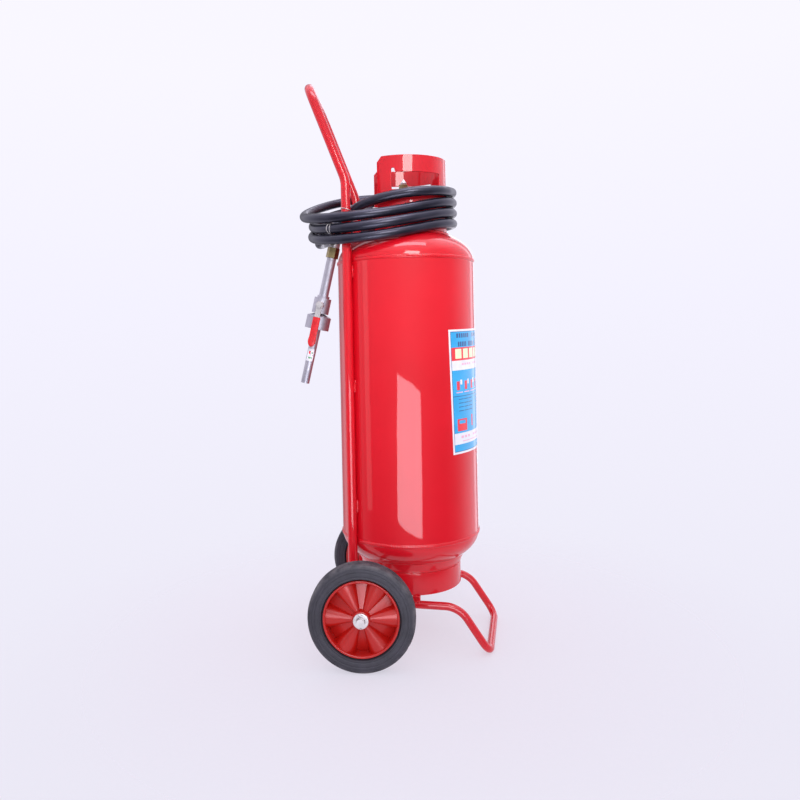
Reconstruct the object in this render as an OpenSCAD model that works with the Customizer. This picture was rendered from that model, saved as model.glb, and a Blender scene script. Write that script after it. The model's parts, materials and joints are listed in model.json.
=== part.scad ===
// Wheeled fire extinguisher: a welded steel cylinder on a two-wheel trolley, with a guarded valve,
// a coiled rubber hose and a hand-held discharge gun. Millimetres, +Z up, +X towards the leg.
// The wheels and the leg stand on z = 0. Inside the modules X = 0 is the cylinder's own axis.

/* [Cylinder] */
// Outside diameter of the cylinder
tank_d = 300; // [280:1:330]
// Thickness of the shell and of both heads
tank_wall = 3; // [2:0.5:5]
// Length of the straight shell between the two seams
shell_h = 587; // [450:1:750]
// Depth of each dished head
head_h = 75; // [60:1:90]
// Height of the lower seam above the floor
shell_z = 228; // [215:1:260]
// Width of each seam weld
seam_w = 9; // [5:1:14]
// How far each seam weld stands proud
seam_t = 1.6; // [0.5:0.1:3]
// Outside diameter of the neck boss
boss_d = 70; // [60:1:80]
// Height of the neck boss above the head
boss_h = 16; // [12:1:24]
// Bore of the neck boss
neck_d = 40; // [34:1:44]

/* [Foot ring and guard] */
// Outside diameter of the foot ring
ring_d = 217; // [190:1:240]
// Clearance of the foot ring's lower edge over the axle
ring_gap = 1.5; // [1:0.5:10]
// Thickness of the foot ring
ring_wall = 4; // [3:0.5:6]
// Outside diameter of the valve guard
guard_d = 188; // [170:1:188]
// Height of the guard's rim above the upper seam
guard_rise = 219; // [200:1:260]
// Thickness of the guard
guard_wall = 3; // [2:0.5:5]
// Angle that the guard's centre line is turned from the front
guard_turn = 7; // [-15:1:15]
// Angle covered by half of the guard
guard_half = 132; // [115:1:140]
// Angle from the guard's centre line to the near edge of a window
window_from = 41; // [30:1:50]
// Angle from the guard's centre line to the far edge of a window
window_to = 111; // [90:1:112]
// Height of the band above the windows
band_h = 36; // [25:1:45]
// Height of a window
window_h = 36; // [30:1:100]
// Slope of the guard's upper edge, which climbs towards the far side
guard_tilt = 2.1; // [0:0.1:4]

/* [Trolley] */
// Outside diameter of the upright tube
frame_d = 20; // [16:1:25]
// Wall of the upright tube
frame_wall = 1.5; // [1:0.5:3]
// Distance of the uprights behind the cylinder's axis
frame_back = 118; // [112:1:122]
// Height of the bend in the uprights
bend_z = 981; // [940:1:1010]
// Lean of the handle above the bend
handle_lean = 20.6; // [10:0.1:35]
// Height of the handle bar's centre
handle_z = 1190; // [1120:1:1290]
// Radius of the handle's corners
handle_r = 50; // [35:1:70]
// Outside diameter of the leg tube
leg_d = 16; // [14:1:20]
// Wall of the leg tube
leg_wall = 1.5; // [1:0.5:3]
// Half of the distance between the leg's arms
leg_half = 104; // [98:1:110]
// Distance of the leg's cross bar in front of the axis
leg_x = 174.6; // [150:0.2:200]
// Distance of the leg's knee in front of the axis
knee_x = 114; // [70:1:120]
// Height of the leg's knee
knee_z = 97; // [80:1:100]
// Direction that the leg points, turned about the axis
leg_turn = -7.8; // [-10:0.1:10]

/* [Wheels] */
// Outside diameter of the tyre
wheel_d = 212; // [190:1:230]
// Width of the tyre
tyre_w = 40; // [34:1:48]
// Outside diameter of the wheel disc, where the tyre sits
disc_d = 150; // [130:1:160]
// Distance of the axle behind the cylinder's axis
axle_back = 93; // [85:1:105]
// Diameter of the axle
axle_d = 16; // [12:1:20]
// Half of the track, measured to the middle of a tyre
track_half = 195; // [185:1:215]
// Length of a wheel hub
hub_w = 52; // [44:1:60]
// Number of flutes on a wheel disc
flute_count = 6; // [5:1:8]

/* [Valve and gauge] */
// Height of the outlet above the upper seam
outlet_rise = 110; // [106:1:114]
// Direction of the outlet, turned from the front
outlet_turn = 198.5; // [196:0.5:203]
// Diameter of the valve body
valve_d = 48; // [44:1:54]
// Diameter of the valve's ball
ball_d = 32; // [28:1:34]
// Diameter of the valve's waterway
port_d = 16; // [12:1:18]
// Diameter of the valve's spindle
spindle_d = 10; // [8:1:12]
// Reach of the valve lever from the spindle
lever_l = 80; // [60:1:84]
// Diameter of the gauge case
gauge_d = 40; // [36:1:46]
// Diameter of the dip tube
dip_d = 25; // [20:1:28]

/* [Hose] */
// Outside diameter of the hose
hose_d = 20.5; // [19:0.5:20.5]
// Number of turns wound round the guard
coil_turns = 3.3; // [3.3:0.05:3.35]
// Drop from one turn to the next
coil_pitch = 22.8; // [22.8:0.1:24]

/* [Gun] */
// Overall length of the gun below the hose
gun_l = 293; // [270:1:320]
// Lean of the hanging gun
gun_lean = 13.4; // [5:0.1:20]
// Diameter of the gun's inlet tube
gun_tube_d = 20; // [18:1:22]
// Diameter of the barrel
barrel_d = 18; // [16:1:20]
// Bore of the barrel
barrel_bore = 13; // [9:1:13]
// Diameter of the gun's ball valve body
gun_body_d = 36; // [34:1:40]
// Diameter of the air collar
collar_d = 51; // [46:1:54]
// Number of air holes in the collar
collar_holes = 6; // [4:1:8]

/* [Labels] */
// Height of the main label's lower edge
label_z = 410; // [380:1:420]
// Height of the main label
label_h = 258; // [200:1:280]
// Angle covered by half of the main label
label_half = 51; // [40:1:60]

/* [Hidden] */
$fn = 64;

fit = 0.05; // radial clearance of a running fit
seat = 0.3; // gap between parts that pass each other
through = 1; // how far a cutter runs past a face

// Finishes
paint_red = "#d81f2a";
disc_red = "#c8202a";
zinc = "#c9c9c4";
brass = "#c9a24a";
alloy = "#b9bcc2";
rubber = "#2d2d30";
ptfe = "#f0f0ec";

// Cylinder
tank_r = tank_d / 2;
top_seam_z = shell_z + shell_h;
head_steps = 20;
boss_top_z = top_seam_z + head_h + boss_h;
guard_r = guard_d / 2;
guard_top_z = top_seam_z + guard_rise;
window_top_z = guard_top_z - band_h;
corner_cut = 12; // chamfer at the guard's two upper corners

// Trolley
frame_r = frame_d / 2;
frame_half = sqrt(pow(tank_r + frame_r + 0.02, 2) - pow(frame_back, 2));
handle_x = -frame_back - (handle_z - bend_z) * tan(handle_lean);
bend_r = 70; // radius of the bend in the uprights
bend_trim = bend_r * tan(handle_lean / 2);
upright_end = 20; // straight length below the bend that belongs to the handle
upright_top = bend_z - bend_trim - upright_end;
leg_r = leg_d / 2;
knee_r = 54; // radius of the leg's knee
toe_r = 26; // radius of the leg's lower corners
axle_r = axle_d / 2;
axle_z = wheel_d / 2;
ring_z = axle_z + axle_r + ring_gap;
bracket_least = 8; // thickness of an axle bracket
bracket_front = -axle_back + 17;
bracket_rear = -frame_back - frame_r;
bracket_top = axle_z + 26;
// Where an arm of the leg meets its bracket, and the bracket that joins it to the upright
function arm_y(side) = bracket_front * tan(leg_turn) + side * leg_half / cos(leg_turn);
function bracket_y(side) = (arm_y(side) + side * frame_half) / 2;
function bracket_t(side) = max(bracket_least, abs(arm_y(side) - side * frame_half) - leg_d + 6);
bracket_foot = min(axle_z - 20, knee_z - 11);
leg_slope = round(atan2(knee_z - leg_r, leg_x - knee_x)); // a whole degree keeps the bends true
knee_at = leg_x - (knee_z - leg_r) / tan(leg_slope);
lug_x = 27; // middle of a lug between the foot ring and an arm
lug_w = 16;
weld_heights = [300, 550, 790];
weld_l = 26;

// Wheels
disc_r = disc_d / 2;
bush_r = axle_r + 4;
hub_r = 20;
rim_t = 5; // thickness of the disc's rim
rim_w = tyre_w - 4;
web_t = 5; // thickness of the disc's web
hub_out = hub_w - 30; // how far the hub stands out from the middle of the tyre
hub_in = hub_w - hub_out;
washer_t = 3;
washer_r = 15;
axle_half = track_half + hub_out + 13;
pin_y = track_half + hub_out + seat + washer_t + 5;
pin_r = 2;

// Valve, along its own axis; heights are measured from the outlet's centre
outlet_z = top_seam_z + outlet_rise;
seal_t = 2;
flange_z = boss_top_z + seal_t - outlet_z;
flange_t = 6;
body_top = 20;
bonnet_top = 36;
gland_top = 45;
lever_z = 47;
lever_t = 6;
nut_top = 64;
dome_top = 77;
outlet_l = 46;
coupling_from = 37;
coupling_to = 54;
hose_start = 72;
spindle_r = spindle_d / 2;
ball_flat = 14; // height of the flat on which the spindle bears
gauge_from = 34;
gauge_t = 16;
gauge_z = 7;
gauge_wall = 1.5;

// Gun, along its own axis; heights run down from the swivel nut's top face
gun_at = [2 - tank_r, -84, top_seam_z + 28];
gun_ferrule_h = 12;
gun_nut_h = 22;
gun_step_z = -104;
gun_body_z = -109;
gun_body_end = -142;
gun_ball_r = 12;
gun_ball_z = -125;
gun_lever_l = 90;
gun_lever_y = -27.2;
gun_lever_t = 3;
collar_end = -176;
sleeve_from = 26; // distance from the pivot to the lever's vinyl sleeve

// The object's frame stands midway between its rearmost and foremost points
toe_bend = [for (a = [0 : 0.5 : 90]) [
    leg_x - toe_r * cos(leg_slope) * (1 - cos(a)), leg_half - toe_r * (1 - sin(a))]];
front_x = max([for (p = toe_bend) p[0] * cos(leg_turn) + p[1] * abs(sin(leg_turn))]) + leg_r;
rear_x = min(gun_at[0] - gun_l * sin(gun_lean) - barrel_d / 2 * cos(gun_lean), handle_x - frame_r);
centre_x = (front_x + rear_x) / 2;

// Hose route ------------------------------------------------------------------------------------
hose_r = hose_d / 2;
front_r = guard_r + hose_r + 2.3; // radius of a turn round the front of the guard
coil_top_z = 967; // height of the first turn at the front
coil_from = -0.05; // where the coil starts, in turns from the front
rings_per_turn = 24;

// Turns are egg shaped: a small arc round the guard, a larger one behind the uprights. The first
// turn reaches further back than the others.
function rear_back(t) = lookup(t, [[0.7, 87], [1.3, 57], [2.5, 60.5]]);
function rear_r(t) = lookup(t, [[0.7, 136], [1.3, 145.8], [2.5, 144.3]]);

// Height of a turn at angle a from the front, where the far side lies high and the near side low
function drape(a) = 11.3 * (cos(a) - 1) + 33.8 * sin(a) - 1.6 * (cos(2 * a) - 1) - 7.7 * sin(2 * a)
    + 1.9 * (cos(3 * a) - 1) - 1.5 * sin(3 * a);

// A point of the egg at distance s from its front, on the side where y is positive
function egg_half(s, back, rr) =
    let (
        beta = acos((rr - front_r) / back),
        arc = front_r * beta * PI / 180,
        side = back * sin(beta),
        n = [cos(beta), sin(beta)]
    )
    s < arc ? front_r * [cos(s / arc * beta), sin(s / arc * beta)]
    : s < arc + side ? front_r * n + (s - arc) * [-sin(beta), cos(beta)]
    : let (a = beta + (s - arc - side) / rr * 180 / PI) [-back, 0] + rr * [cos(a), sin(a)];

function egg_length(back, rr) =
    let (beta = acos((rr - front_r) / back))
    front_r * beta * PI / 180 + back * sin(beta) + rr * (180 - beta) * PI / 180;

function coil_point(t) =
    let (
        u = t - floor(t),
        back = rear_back(t),
        rr = rear_r(t),
        s = (u < 0.5 ? u : 1 - u) * 2 * egg_length(back, rr),
        p = egg_half(s, back, rr)
    )
    [p[0], u < 0.5 ? p[1] : -p[1], coil_top_z - coil_pitch * t + drape(360 * u)];

coil_steps = round((coil_turns - coil_from) * rings_per_turn);
coil_to = coil_from + coil_steps / rings_per_turn;
function coil_dir(t) = unit(coil_point(t + 0.004) - coil_point(t - 0.004));
coil_begin = coil_point(coil_from) - hose_d * coil_dir(coil_from);
coil_end = coil_point(coil_to) + hose_d * coil_dir(coil_to);
coil_route = concat(
    [coil_begin],
    [for (i = [0 : coil_steps]) coil_point(coil_from + i / rings_per_turn)],
    [coil_end]);

// From the valve's ferrule through the guard's rear opening, round the far upright, to the coil
outlet_dir = [cos(outlet_turn), sin(outlet_turn), 0];
lead_start = hose_start * outlet_dir + [0, 0, outlet_z];
lead_points = [
    [-92, -31, 923], [-119, -36, 914], [-151, -31, 897], [-178, -10, 881], [-195, 24, 870],
    [-198, 64, 871], [-185, 100, 881], [-162, 124, 896], [-133, 134, 910]];
lead_route = concat([lead_start, lead_start + 8 * outlet_dir], lead_points, [coil_end]);

// From the gun, behind the turns and inside the near upright, up on to the first turn
gun_dir = [sin(gun_lean), 0, cos(gun_lean)];
tail_start = gun_at + gun_ferrule_h * gun_dir;
tail_points = [
    [-138, -84, 880], [-127, -84, 899], [-111, -87, 916], [-91, -91, 929], [-67, -98, 937],
    [-40, -105, 943], [-8, -109, 948], [24, -108, 952], [54, -97, 955], [75, -81, 958]];
tail_route = concat([tail_start, tail_start + 8 * gun_dir], tail_points, [coil_begin]);

function route_length(p) = len(p) < 2 ? 0 : sum_list([for (i = [1 : len(p) - 1]) norm(p[i] - p[i - 1])]);
function sum_list(v, i = 0) = i < len(v) ? v[i] + sum_list(v, i + 1) : 0;
function coil_gap() = min([
    for (i = [0 : len(coil_route) - 1], j = [i + rings_per_turn / 2 : 1 : len(coil_route) - 1])
        norm(coil_route[i] - coil_route[j])]) - hose_d;
echo(hose_length = route_length(lead_route) + route_length(coil_route) + route_length(tail_route));
echo(coil_gap = coil_gap());
echo(centre_x = centre_x);

// Shared shapes ---------------------------------------------------------------------------------
function unit(v) = v / norm(v);

// Moves the object so that its frame's origin is at x = 0
module place() {
    translate([-centre_x, 0, 0]) children();
}

module tube(r, wall, h) {
    difference() {
        cylinder(r = r, h = h);
        if (wall > 0) translate([0, 0, -through]) cylinder(r = r - wall, h = h + 2 * through);
    }
}

function side_of(d) = unit(abs(d[2]) < 0.9 ? cross([0, 0, 1], d) : cross([0, 1, 0], d));

// A tube that leaves the origin along +Z. Each run is [length, roll, bend angle, bend radius]: a
// straight length, then a turn about Z and a bend towards +X. The last run has no bend.
module bent_tube(r, wall, runs, i = 0) {
    run = runs[i];
    tube(r, wall, run[0]);
    if (i < len(runs) - 1) translate([0, 0, run[0]]) rotate([0, 0, run[1]]) translate([run[3], 0, 0]) {
        rotate([90, 0, 180]) rotate_extrude(angle = run[2]) translate([run[3], 0]) difference() {
            circle(r = r);
            if (wall > 0) circle(r = r - wall);
        }
        rotate([0, run[2], 0]) translate([-run[3], 0, 0]) bent_tube(r, wall, runs, i + 1);
    }
}

// A faceted hose swept along route p, square to first and last at its ends
module hose(p, first, last, sides) {
    n = len(p);
    dir = [for (i = [0 : n - 1]) i == 0 ? first : i == n - 1 ? last : unit(p[i + 1] - p[i - 1])];
    points = [
        for (i = [0 : n - 1])
            let (x = side_of(dir[i]), y = cross(dir[i], x))
                for (k = [0 : sides - 1])
                    p[i] + hose_r * (cos(360 * k / sides) * x + sin(360 * k / sides) * y)];
    walls = [
        for (i = [0 : n - 2], k = [0 : sides - 1])
            let (a = i * sides + k, b = i * sides + (k + 1) % sides)
                each [[a, a + sides, b], [b, a + sides, b + sides]]];
    start_cap = [for (k = [1 : sides - 2]) [0, k, k + 1]];
    m = (n - 1) * sides;
    end_cap = [for (k = [1 : sides - 2]) [m, m + k + 1, m + k]];
    polyhedron(points, concat(walls, start_cap, end_cap));
}

module along_x(x) {
    translate([x, 0, 0]) rotate([0, 90, 0]) children();
}

// Hexagon bar across its flats
module hex(flats, h) {
    cylinder(d = flats / cos(30), h = h, $fn = 6);
}

// A dished head's solid, from its seam at z = 0 up to its crown
module dish(r, h) {
    rotate_extrude() polygon(concat([[0, 0]], [
        for (i = [0 : head_steps]) let (a = 90 * i / head_steps) [r * cos(a), h * sin(a)]]));
}

// The cylinder's outside, with cutters for what is welded to its heads
module top_dome() {
    translate([0, 0, top_seam_z]) dish(tank_r, head_h);
}

module bottom_dome() {
    translate([0, 0, shell_z]) mirror([0, 0, 1]) dish(tank_r, head_h);
}

// Cylinder ----------------------------------------------------------------------------------------
module tank_shell() {
    color(paint_red) place() translate([0, 0, shell_z]) tube(tank_r, tank_wall, shell_h);
}

module top_head() {
    color(paint_red) place() difference() {
        top_dome();
        translate([0, 0, top_seam_z]) dish(tank_r - tank_wall, head_h - tank_wall);
        translate([0, 0, top_seam_z]) cylinder(d = neck_d, h = head_h + through);
    }
}

module bottom_head() {
    color(paint_red) place() difference() {
        bottom_dome();
        translate([0, 0, shell_z]) mirror([0, 0, 1]) dish(tank_r - tank_wall, head_h - tank_wall);
    }
}

module seam_welds() {
    crown = (seam_w * seam_w / 4 + seam_t * seam_t) / (2 * seam_t);
    color(paint_red) place() difference() {
        for (z = [shell_z, top_seam_z]) translate([0, 0, z]) rotate_extrude() intersection() {
            translate([tank_r + seam_t - crown, 0]) circle(r = crown);
            translate([tank_r, -seam_w]) square([seam_w, 2 * seam_w]);
        }
        for (side = [-1, 1]) translate([-frame_back, side * frame_half, bracket_top])
            cylinder(r = frame_r, h = bend_z - bracket_top);
    }
}

module neck_boss() {
    color(paint_red) place() difference() {
        translate([0, 0, top_seam_z]) tube(boss_d / 2, (boss_d - neck_d) / 2, head_h + boss_h);
        top_dome();
    }
}

module foot_ring() {
    color(paint_red) place() difference() {
        translate([0, 0, ring_z]) tube(ring_d / 2, ring_wall, shell_z - ring_z);
        bottom_dome();
    }
}

// A wedge of the plane between two angles, out past the guard
module sector(from, to) {
    reach = 2 * guard_d;
    steps = 8;
    polygon(concat([[0, 0]], [
        for (i = [0 : steps])
            let (a = from + (to - from) * i / steps) reach * [cos(a), sin(a)]]));
}

// The guard's sloping upper edge is level with the height given for it at the near side
module on_guard_edge() {
    translate([0, -guard_r, guard_top_z]) rotate([guard_tilt, 0, 0])
        translate([0, guard_r, -guard_top_z]) children();
}

module valve_guard() {
    far_rise = guard_rise + 2 * guard_r * tan(guard_tilt);
    color(paint_red) place() rotate([0, 0, guard_turn]) difference() {
        translate([0, 0, top_seam_z]) tube(guard_r, guard_wall, far_rise);
        translate([0, 0, top_seam_z - through])
            linear_extrude(far_rise + 2 * through) sector(guard_half, 360 - guard_half);
        on_guard_edge() translate([-guard_d, -guard_d, guard_top_z]) cube(2 * guard_d);
        on_guard_edge() for (side = [0, 1]) mirror([0, side, 0]) {
            translate([0, 0, window_top_z - window_h])
                linear_extrude(window_h) sector(window_from, window_to);
            rotate([0, 0, guard_half]) translate([guard_r, 0, guard_top_z])
                rotate([45, 0, 0]) cube([4 * guard_wall, 2 * corner_cut, corner_cut * sqrt(2)], center = true);
        }
        top_dome();
    }
}

// Trolley -----------------------------------------------------------------------------------------
// The straight part of each upright. The bent part above it is the same tube.
module uprights() {
    color(paint_red) place() for (side = [-1, 1])
        translate([-frame_back, side * frame_half, bracket_top]) tube(frame_r, frame_wall, upright_top - bracket_top);
}

module handle_frame() {
    back = (handle_z - bend_z) / cos(handle_lean) - bend_trim - handle_r;
    color(paint_red) place() translate([-frame_back, frame_half, upright_top])
        bent_tube(frame_r, frame_wall, [
            [upright_end, 180, handle_lean, bend_r], [back, 90, 90, handle_r],
            [2 * (frame_half - handle_r), 0, 90, handle_r], [back, -90, handle_lean, bend_r], [upright_end]]);
}

// Short fillets where each upright touches the shell
module frame_welds() {
    color(paint_red) place() for (side = [0, 1]) mirror([0, side, 0])
        for (z = weld_heights) difference() {
            translate([-frame_back, frame_half, z]) rotate([0, 0, atan2(-frame_half, frame_back)])
                translate([frame_r * 0.2, 0, 0]) cube([frame_r * 1.4, frame_d * 0.9, weld_l], center = true);
            translate([-frame_back, frame_half, z - weld_l]) cylinder(r = frame_r, h = 2 * weld_l);
            translate([0, 0, z - weld_l]) cylinder(r = tank_r, h = 2 * weld_l);
        }
}

module leg_solid(wall) {
    trim = knee_r * tan(leg_slope / 2);
    tail = bracket_front - leg_half * abs(sin(leg_turn)) - leg_d;
    arm = knee_at - tail - trim;
    down = (leg_x - knee_at) / cos(leg_slope) - trim - toe_r;
    difference() {
        rotate([0, 0, leg_turn]) translate([tail, leg_half, knee_z]) rotate([0, 90, 0])
            bent_tube(leg_r, wall, [
                [arm, 0, leg_slope, knee_r], [down, -90, 90, toe_r],
                [2 * (leg_half - toe_r), 0, 90, toe_r], [down, 90, leg_slope, knee_r], [arm]]);
        translate([bracket_front - 2 * leg_half, -2 * leg_half, knee_z - leg_d])
            cube([2 * leg_half, 4 * leg_half, 2 * leg_d]);
    }
}

module front_leg() {
    color(paint_red) place() leg_solid(leg_wall);
}

module ring_lugs() {
    color(paint_red) place() difference() {
        for (side = [-1, 1]) rotate([0, 0, leg_turn])
            translate([lug_x - lug_w / 2, side * leg_half - leg_r / 2, knee_z])
                cube([lug_w, leg_r, ring_z - knee_z]);
        leg_solid(0);
    }
}

module axle_brackets() {
    color(paint_red) place() for (side = [-1, 1])
        translate([0, bracket_y(side) + bracket_t(side) / 2, 0]) rotate([90, 0, 0])
            linear_extrude(bracket_t(side)) difference() {
                polygon([
                    [bracket_rear, axle_z - 4], [bracket_rear + 12, bracket_foot],
                    [bracket_front, bracket_foot], [bracket_front, axle_z + 14],
                    [-frame_back + frame_r + 6, bracket_top], [bracket_rear, bracket_top]]);
                translate([-axle_back, axle_z]) circle(r = axle_r);
            }
}

module on_axle(y) {
    translate([-axle_back, y, axle_z]) rotate([90, 0, 0]) children();
}

module axle() {
    color(zinc) place() difference() {
        on_axle(axle_half) cylinder(r = axle_r, h = 2 * axle_half);
        for (side = [-1, 1])
            translate([-axle_back, side * pin_y, axle_z - axle_d]) cylinder(r = pin_r, h = 2 * axle_d);
    }
}

module axle_spacers() {
    to = track_half - hub_in - seat;
    color(paint_red) place() for (side = [-1, 1])
        let (from = abs(bracket_y(side)) + bracket_t(side) / 2)
            on_axle(side > 0 ? to : -from) tube(axle_r + 3, 3, to - from);
}

module axle_washers() {
    from = track_half + hub_out + seat;
    color(zinc) place() for (side = [0, 1]) mirror([0, side, 0])
        on_axle(from + washer_t) tube(washer_r, washer_r - axle_r, washer_t);
}

// One eye above the axle and two legs below it
module split_pins() {
    eye_r = 4;
    color(zinc) place() for (side = [-1, 1]) translate([-axle_back, side * pin_y, axle_z]) {
        translate([0, 0, -axle_r - 7]) cylinder(r = pin_r, h = 2 * axle_r + 8);
        translate([0, 0, axle_r + 1 + eye_r]) rotate([90, 0, 90])
            rotate_extrude() translate([eye_r - 1, 0]) circle(r = 1.2);
    }
}

// Wheels, along local Z with the outer face upwards ----------------------------------------------
module on_wheel(side) {
    place() translate([-axle_back, side * track_half, axle_z]) rotate([-90 * side, 0, 0]) children();
}

// Tread with rounded shoulders
module tyre(side) {
    shoulder = 10;
    half = tyre_w / 2;
    outline = [
        for (i = [0 : 6]) let (a = 15 * i)
            [wheel_d / 2 - shoulder + shoulder * cos(a), half - shoulder + shoulder * sin(a)]];
    color(rubber) on_wheel(side) rotate_extrude() polygon(concat(
        [[disc_r, -half + 3], [disc_r, half - 3], [disc_r + 3, half]],
        [for (i = [len(outline) - 1 : -1 : 0]) outline[i]],
        [for (q = outline) [q[0], -q[1]]],
        [[disc_r + 3, -half]]));
}

// Hub, rim and web, with conical flutes that widen from the hub to the rim
module wheel_disc(side) {
    color(disc_red) on_wheel(side) difference() {
        union() {
            translate([0, 0, -hub_in]) cylinder(r = hub_r, h = hub_w);
            translate([0, 0, -rim_w / 2]) tube(disc_r, rim_t, rim_w);
            translate([0, 0, -web_t / 2]) cylinder(r = disc_r - rim_t / 2, h = web_t);
            for (i = [0 : flute_count - 1]) rotate([0, 0, 360 * i / flute_count])
                along_x(16) cylinder(r1 = 7, r2 = 15, h = disc_r - rim_t / 2 - 16);
        }
        translate([0, 0, -hub_w]) cylinder(r = bush_r, h = 2 * hub_w);
    }
}

module hub_bush(side) {
    color(ptfe) on_wheel(side) translate([0, 0, -hub_in]) tube(bush_r, bush_r - axle_r - fit, hub_w);
}

// Valve, with its outlet along local X and the outlet's centre at the origin ----------------------
module on_valve() {
    place() translate([0, 0, outlet_z]) rotate([0, 0, outlet_turn]) children();
}

module neck_seal() {
    color(rubber) on_valve() translate([0, 0, flange_z - seal_t]) tube(30, 30 - neck_d / 2, seal_t);
}

module valve_body() {
    shank = 28;
    color(brass) on_valve() difference() {
        union() {
            translate([0, 0, flange_z - shank]) cylinder(d = neck_d, h = shank);
            translate([0, 0, flange_z]) cylinder(r = 32, h = flange_t);
            translate([0, 0, flange_z]) cylinder(d = valve_d, h = body_top - flange_z);
            along_x(0) cylinder(r = 14, h = outlet_l);
            translate([0, 0, gauge_z]) mirror([1, 0, 0]) along_x(0) cylinder(r = 9, h = gauge_from);
        }
        translate([0, 0, flange_z - shank - through]) cylinder(d = port_d, h = shank - flange_z);
        translate([0, 0, flange_z - shank - through]) cylinder(d = dip_d, h = 18 + through);
        translate([0, 0, -ball_d / 2 - 1]) cylinder(d = ball_d + 4, h = body_top + ball_d);
        along_x(0) cylinder(d = port_d, h = outlet_l + through);
        along_x(0) cylinder(r = 12, h = ball_d / 2 + 5);
        translate([0, 0, gauge_z]) mirror([1, 0, 0]) along_x(0) cylinder(r = 4, h = gauge_from + through);
    }
}

module valve_bonnet() {
    color(brass) on_valve() difference() {
        union() {
            translate([0, 0, body_top]) hex(36, bonnet_top - body_top);
            translate([0, 0, ball_d / 2 + 1]) cylinder(d = ball_d + 4, h = bonnet_top - ball_d / 2 - 1);
        }
        cylinder(r = spindle_r + fit, h = bonnet_top + through);
    }
}

module valve_seat() {
    color(ptfe) on_valve() along_x(ball_d / 2 - 2 + seat) tube(12, 12 - port_d / 2, 5);
}

// The ball's side port points the way the lever does
module valve_ball() {
    color(zinc) on_valve() difference() {
        sphere(d = ball_d);
        translate([0, 0, -ball_d]) cylinder(d = port_d, h = ball_d);
        rotate([90, 0, 0]) cylinder(d = port_d, h = ball_d);
        translate([-ball_d, -ball_d, ball_flat]) cube(2 * ball_d);
    }
}

module valve_spindle() {
    color(zinc) on_valve() translate([0, 0, ball_flat]) cylinder(r = spindle_r, h = nut_top + 3 - ball_flat);
}

module gland_nut() {
    color(brass) on_valve() translate([0, 0, bonnet_top]) difference() {
        hex(20, gland_top - bonnet_top);
        translate([0, 0, -through]) cylinder(r = spindle_r + fit, h = gland_top);
    }
}

// The lever points across the outlet while the valve is shut, away from the gun
module on_lever() {
    on_valve() rotate([0, 0, -90]) translate([0, 0, lever_z]) children();
}

module valve_lever() {
    bar_w = 14;
    color(zinc) on_lever() difference() {
        union() {
            cylinder(r = 12, h = lever_t);
            translate([0, -bar_w / 2, 0]) cube([lever_l - 12, bar_w, lever_t]);
        }
        translate([0, 0, -through]) cylinder(r = spindle_r, h = lever_t + 2 * through);
    }
}

module lever_grip() {
    grip_from = lever_l - 46;
    color(rubber) on_lever() difference() {
        translate([grip_from, 0, lever_t / 2]) rotate([0, 90, 0]) {
            cylinder(r = 10, h = lever_l - grip_from - 4);
            translate([0, 0, lever_l - grip_from - 4]) cylinder(r1 = 10, r2 = 6, h = 4);
        }
        translate([0, -7, 0]) cube([lever_l - 12, 14, lever_t]);
    }
}

module spindle_nut() {
    color(brass) on_valve() translate([0, 0, lever_z + lever_t]) difference() {
        hex(19, nut_top - lever_z - lever_t);
        translate([0, 0, -through]) cylinder(r = spindle_r, h = nut_top);
    }
}

module dome_nut() {
    dome_r = 7;
    color(zinc) on_valve() translate([0, 0, nut_top]) difference() {
        union() {
            cylinder(r = dome_r, h = 4);
            translate([0, 0, 4]) cylinder(r1 = dome_r, r2 = 1.5, h = dome_top - nut_top - 5);
            translate([0, 0, dome_top - nut_top - 1.5]) sphere(r = 1.5);
        }
        translate([0, 0, -through]) cylinder(r = spindle_r, h = 3 + through);
    }
}

module dip_tube() {
    foot_gap = 25;
    top = flange_z - 10;
    bottom = shell_z - head_h + foot_gap - outlet_z;
    color(alloy) on_valve() translate([0, 0, bottom]) tube(dip_d / 2, 2, top - bottom);
}

// Gauge, screwed in opposite the outlet, with its dial facing away from the valve
module on_gauge(x) {
    on_valve() translate([0, 0, gauge_z]) mirror([1, 0, 0]) along_x(x) children();
}

module gauge_case() {
    color(zinc) {
        on_gauge(gauge_from) difference() {
            cylinder(d = gauge_d, h = gauge_t);
            translate([0, 0, gauge_wall * 2]) cylinder(d = gauge_d - 2 * gauge_wall, h = gauge_t);
            translate([0, 0, -through]) cylinder(r = 1, h = gauge_t);
        }
        on_gauge(gauge_from - 12) difference() {
            cylinder(r = 4, h = 12);
            translate([0, 0, -through]) cylinder(r = 1, h = 12 + 2 * through);
        }
    }
}

module gauge_dial() {
    color(ptfe) on_gauge(gauge_from + 3) difference() {
        cylinder(d = gauge_d - 2 * gauge_wall, h = 8);
        translate([0, 0, -through]) cylinder(r = 1 + fit, h = 8 + 2 * through);
    }
}

module gauge_needle() {
    color("black") on_gauge(gauge_from + 11 + seat) {
        translate([0, 0, -4]) cylinder(r = 1, h = 4);
        cylinder(r = 2, h = 1);
        translate([-12.5, -0.8, 0]) cube([17, 1.6, 1]);
    }
}

module gauge_glass() {
    color("#ffffff60") on_gauge(gauge_from + gauge_t - 2) cylinder(d = gauge_d - 2 * gauge_wall, h = 1.6);
}

module coupling_nut() {
    color(brass) on_valve() along_x(coupling_from) difference() {
        hex(34, coupling_to - coupling_from);
        translate([0, 0, -through]) cylinder(r = 14, h = outlet_l - coupling_from + through);
        cylinder(r = 7, h = coupling_to);
    }
}

module hose_ferrule() {
    color(zinc) on_valve() along_x(coupling_to) tube(hose_r + 3, hose_r - 4, hose_start - coupling_to);
}

// Hose --------------------------------------------------------------------------------------------
module hose_lead() {
    color(rubber) place() hose(lead_route, outlet_dir, -coil_dir(coil_to), 8);
}

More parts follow.
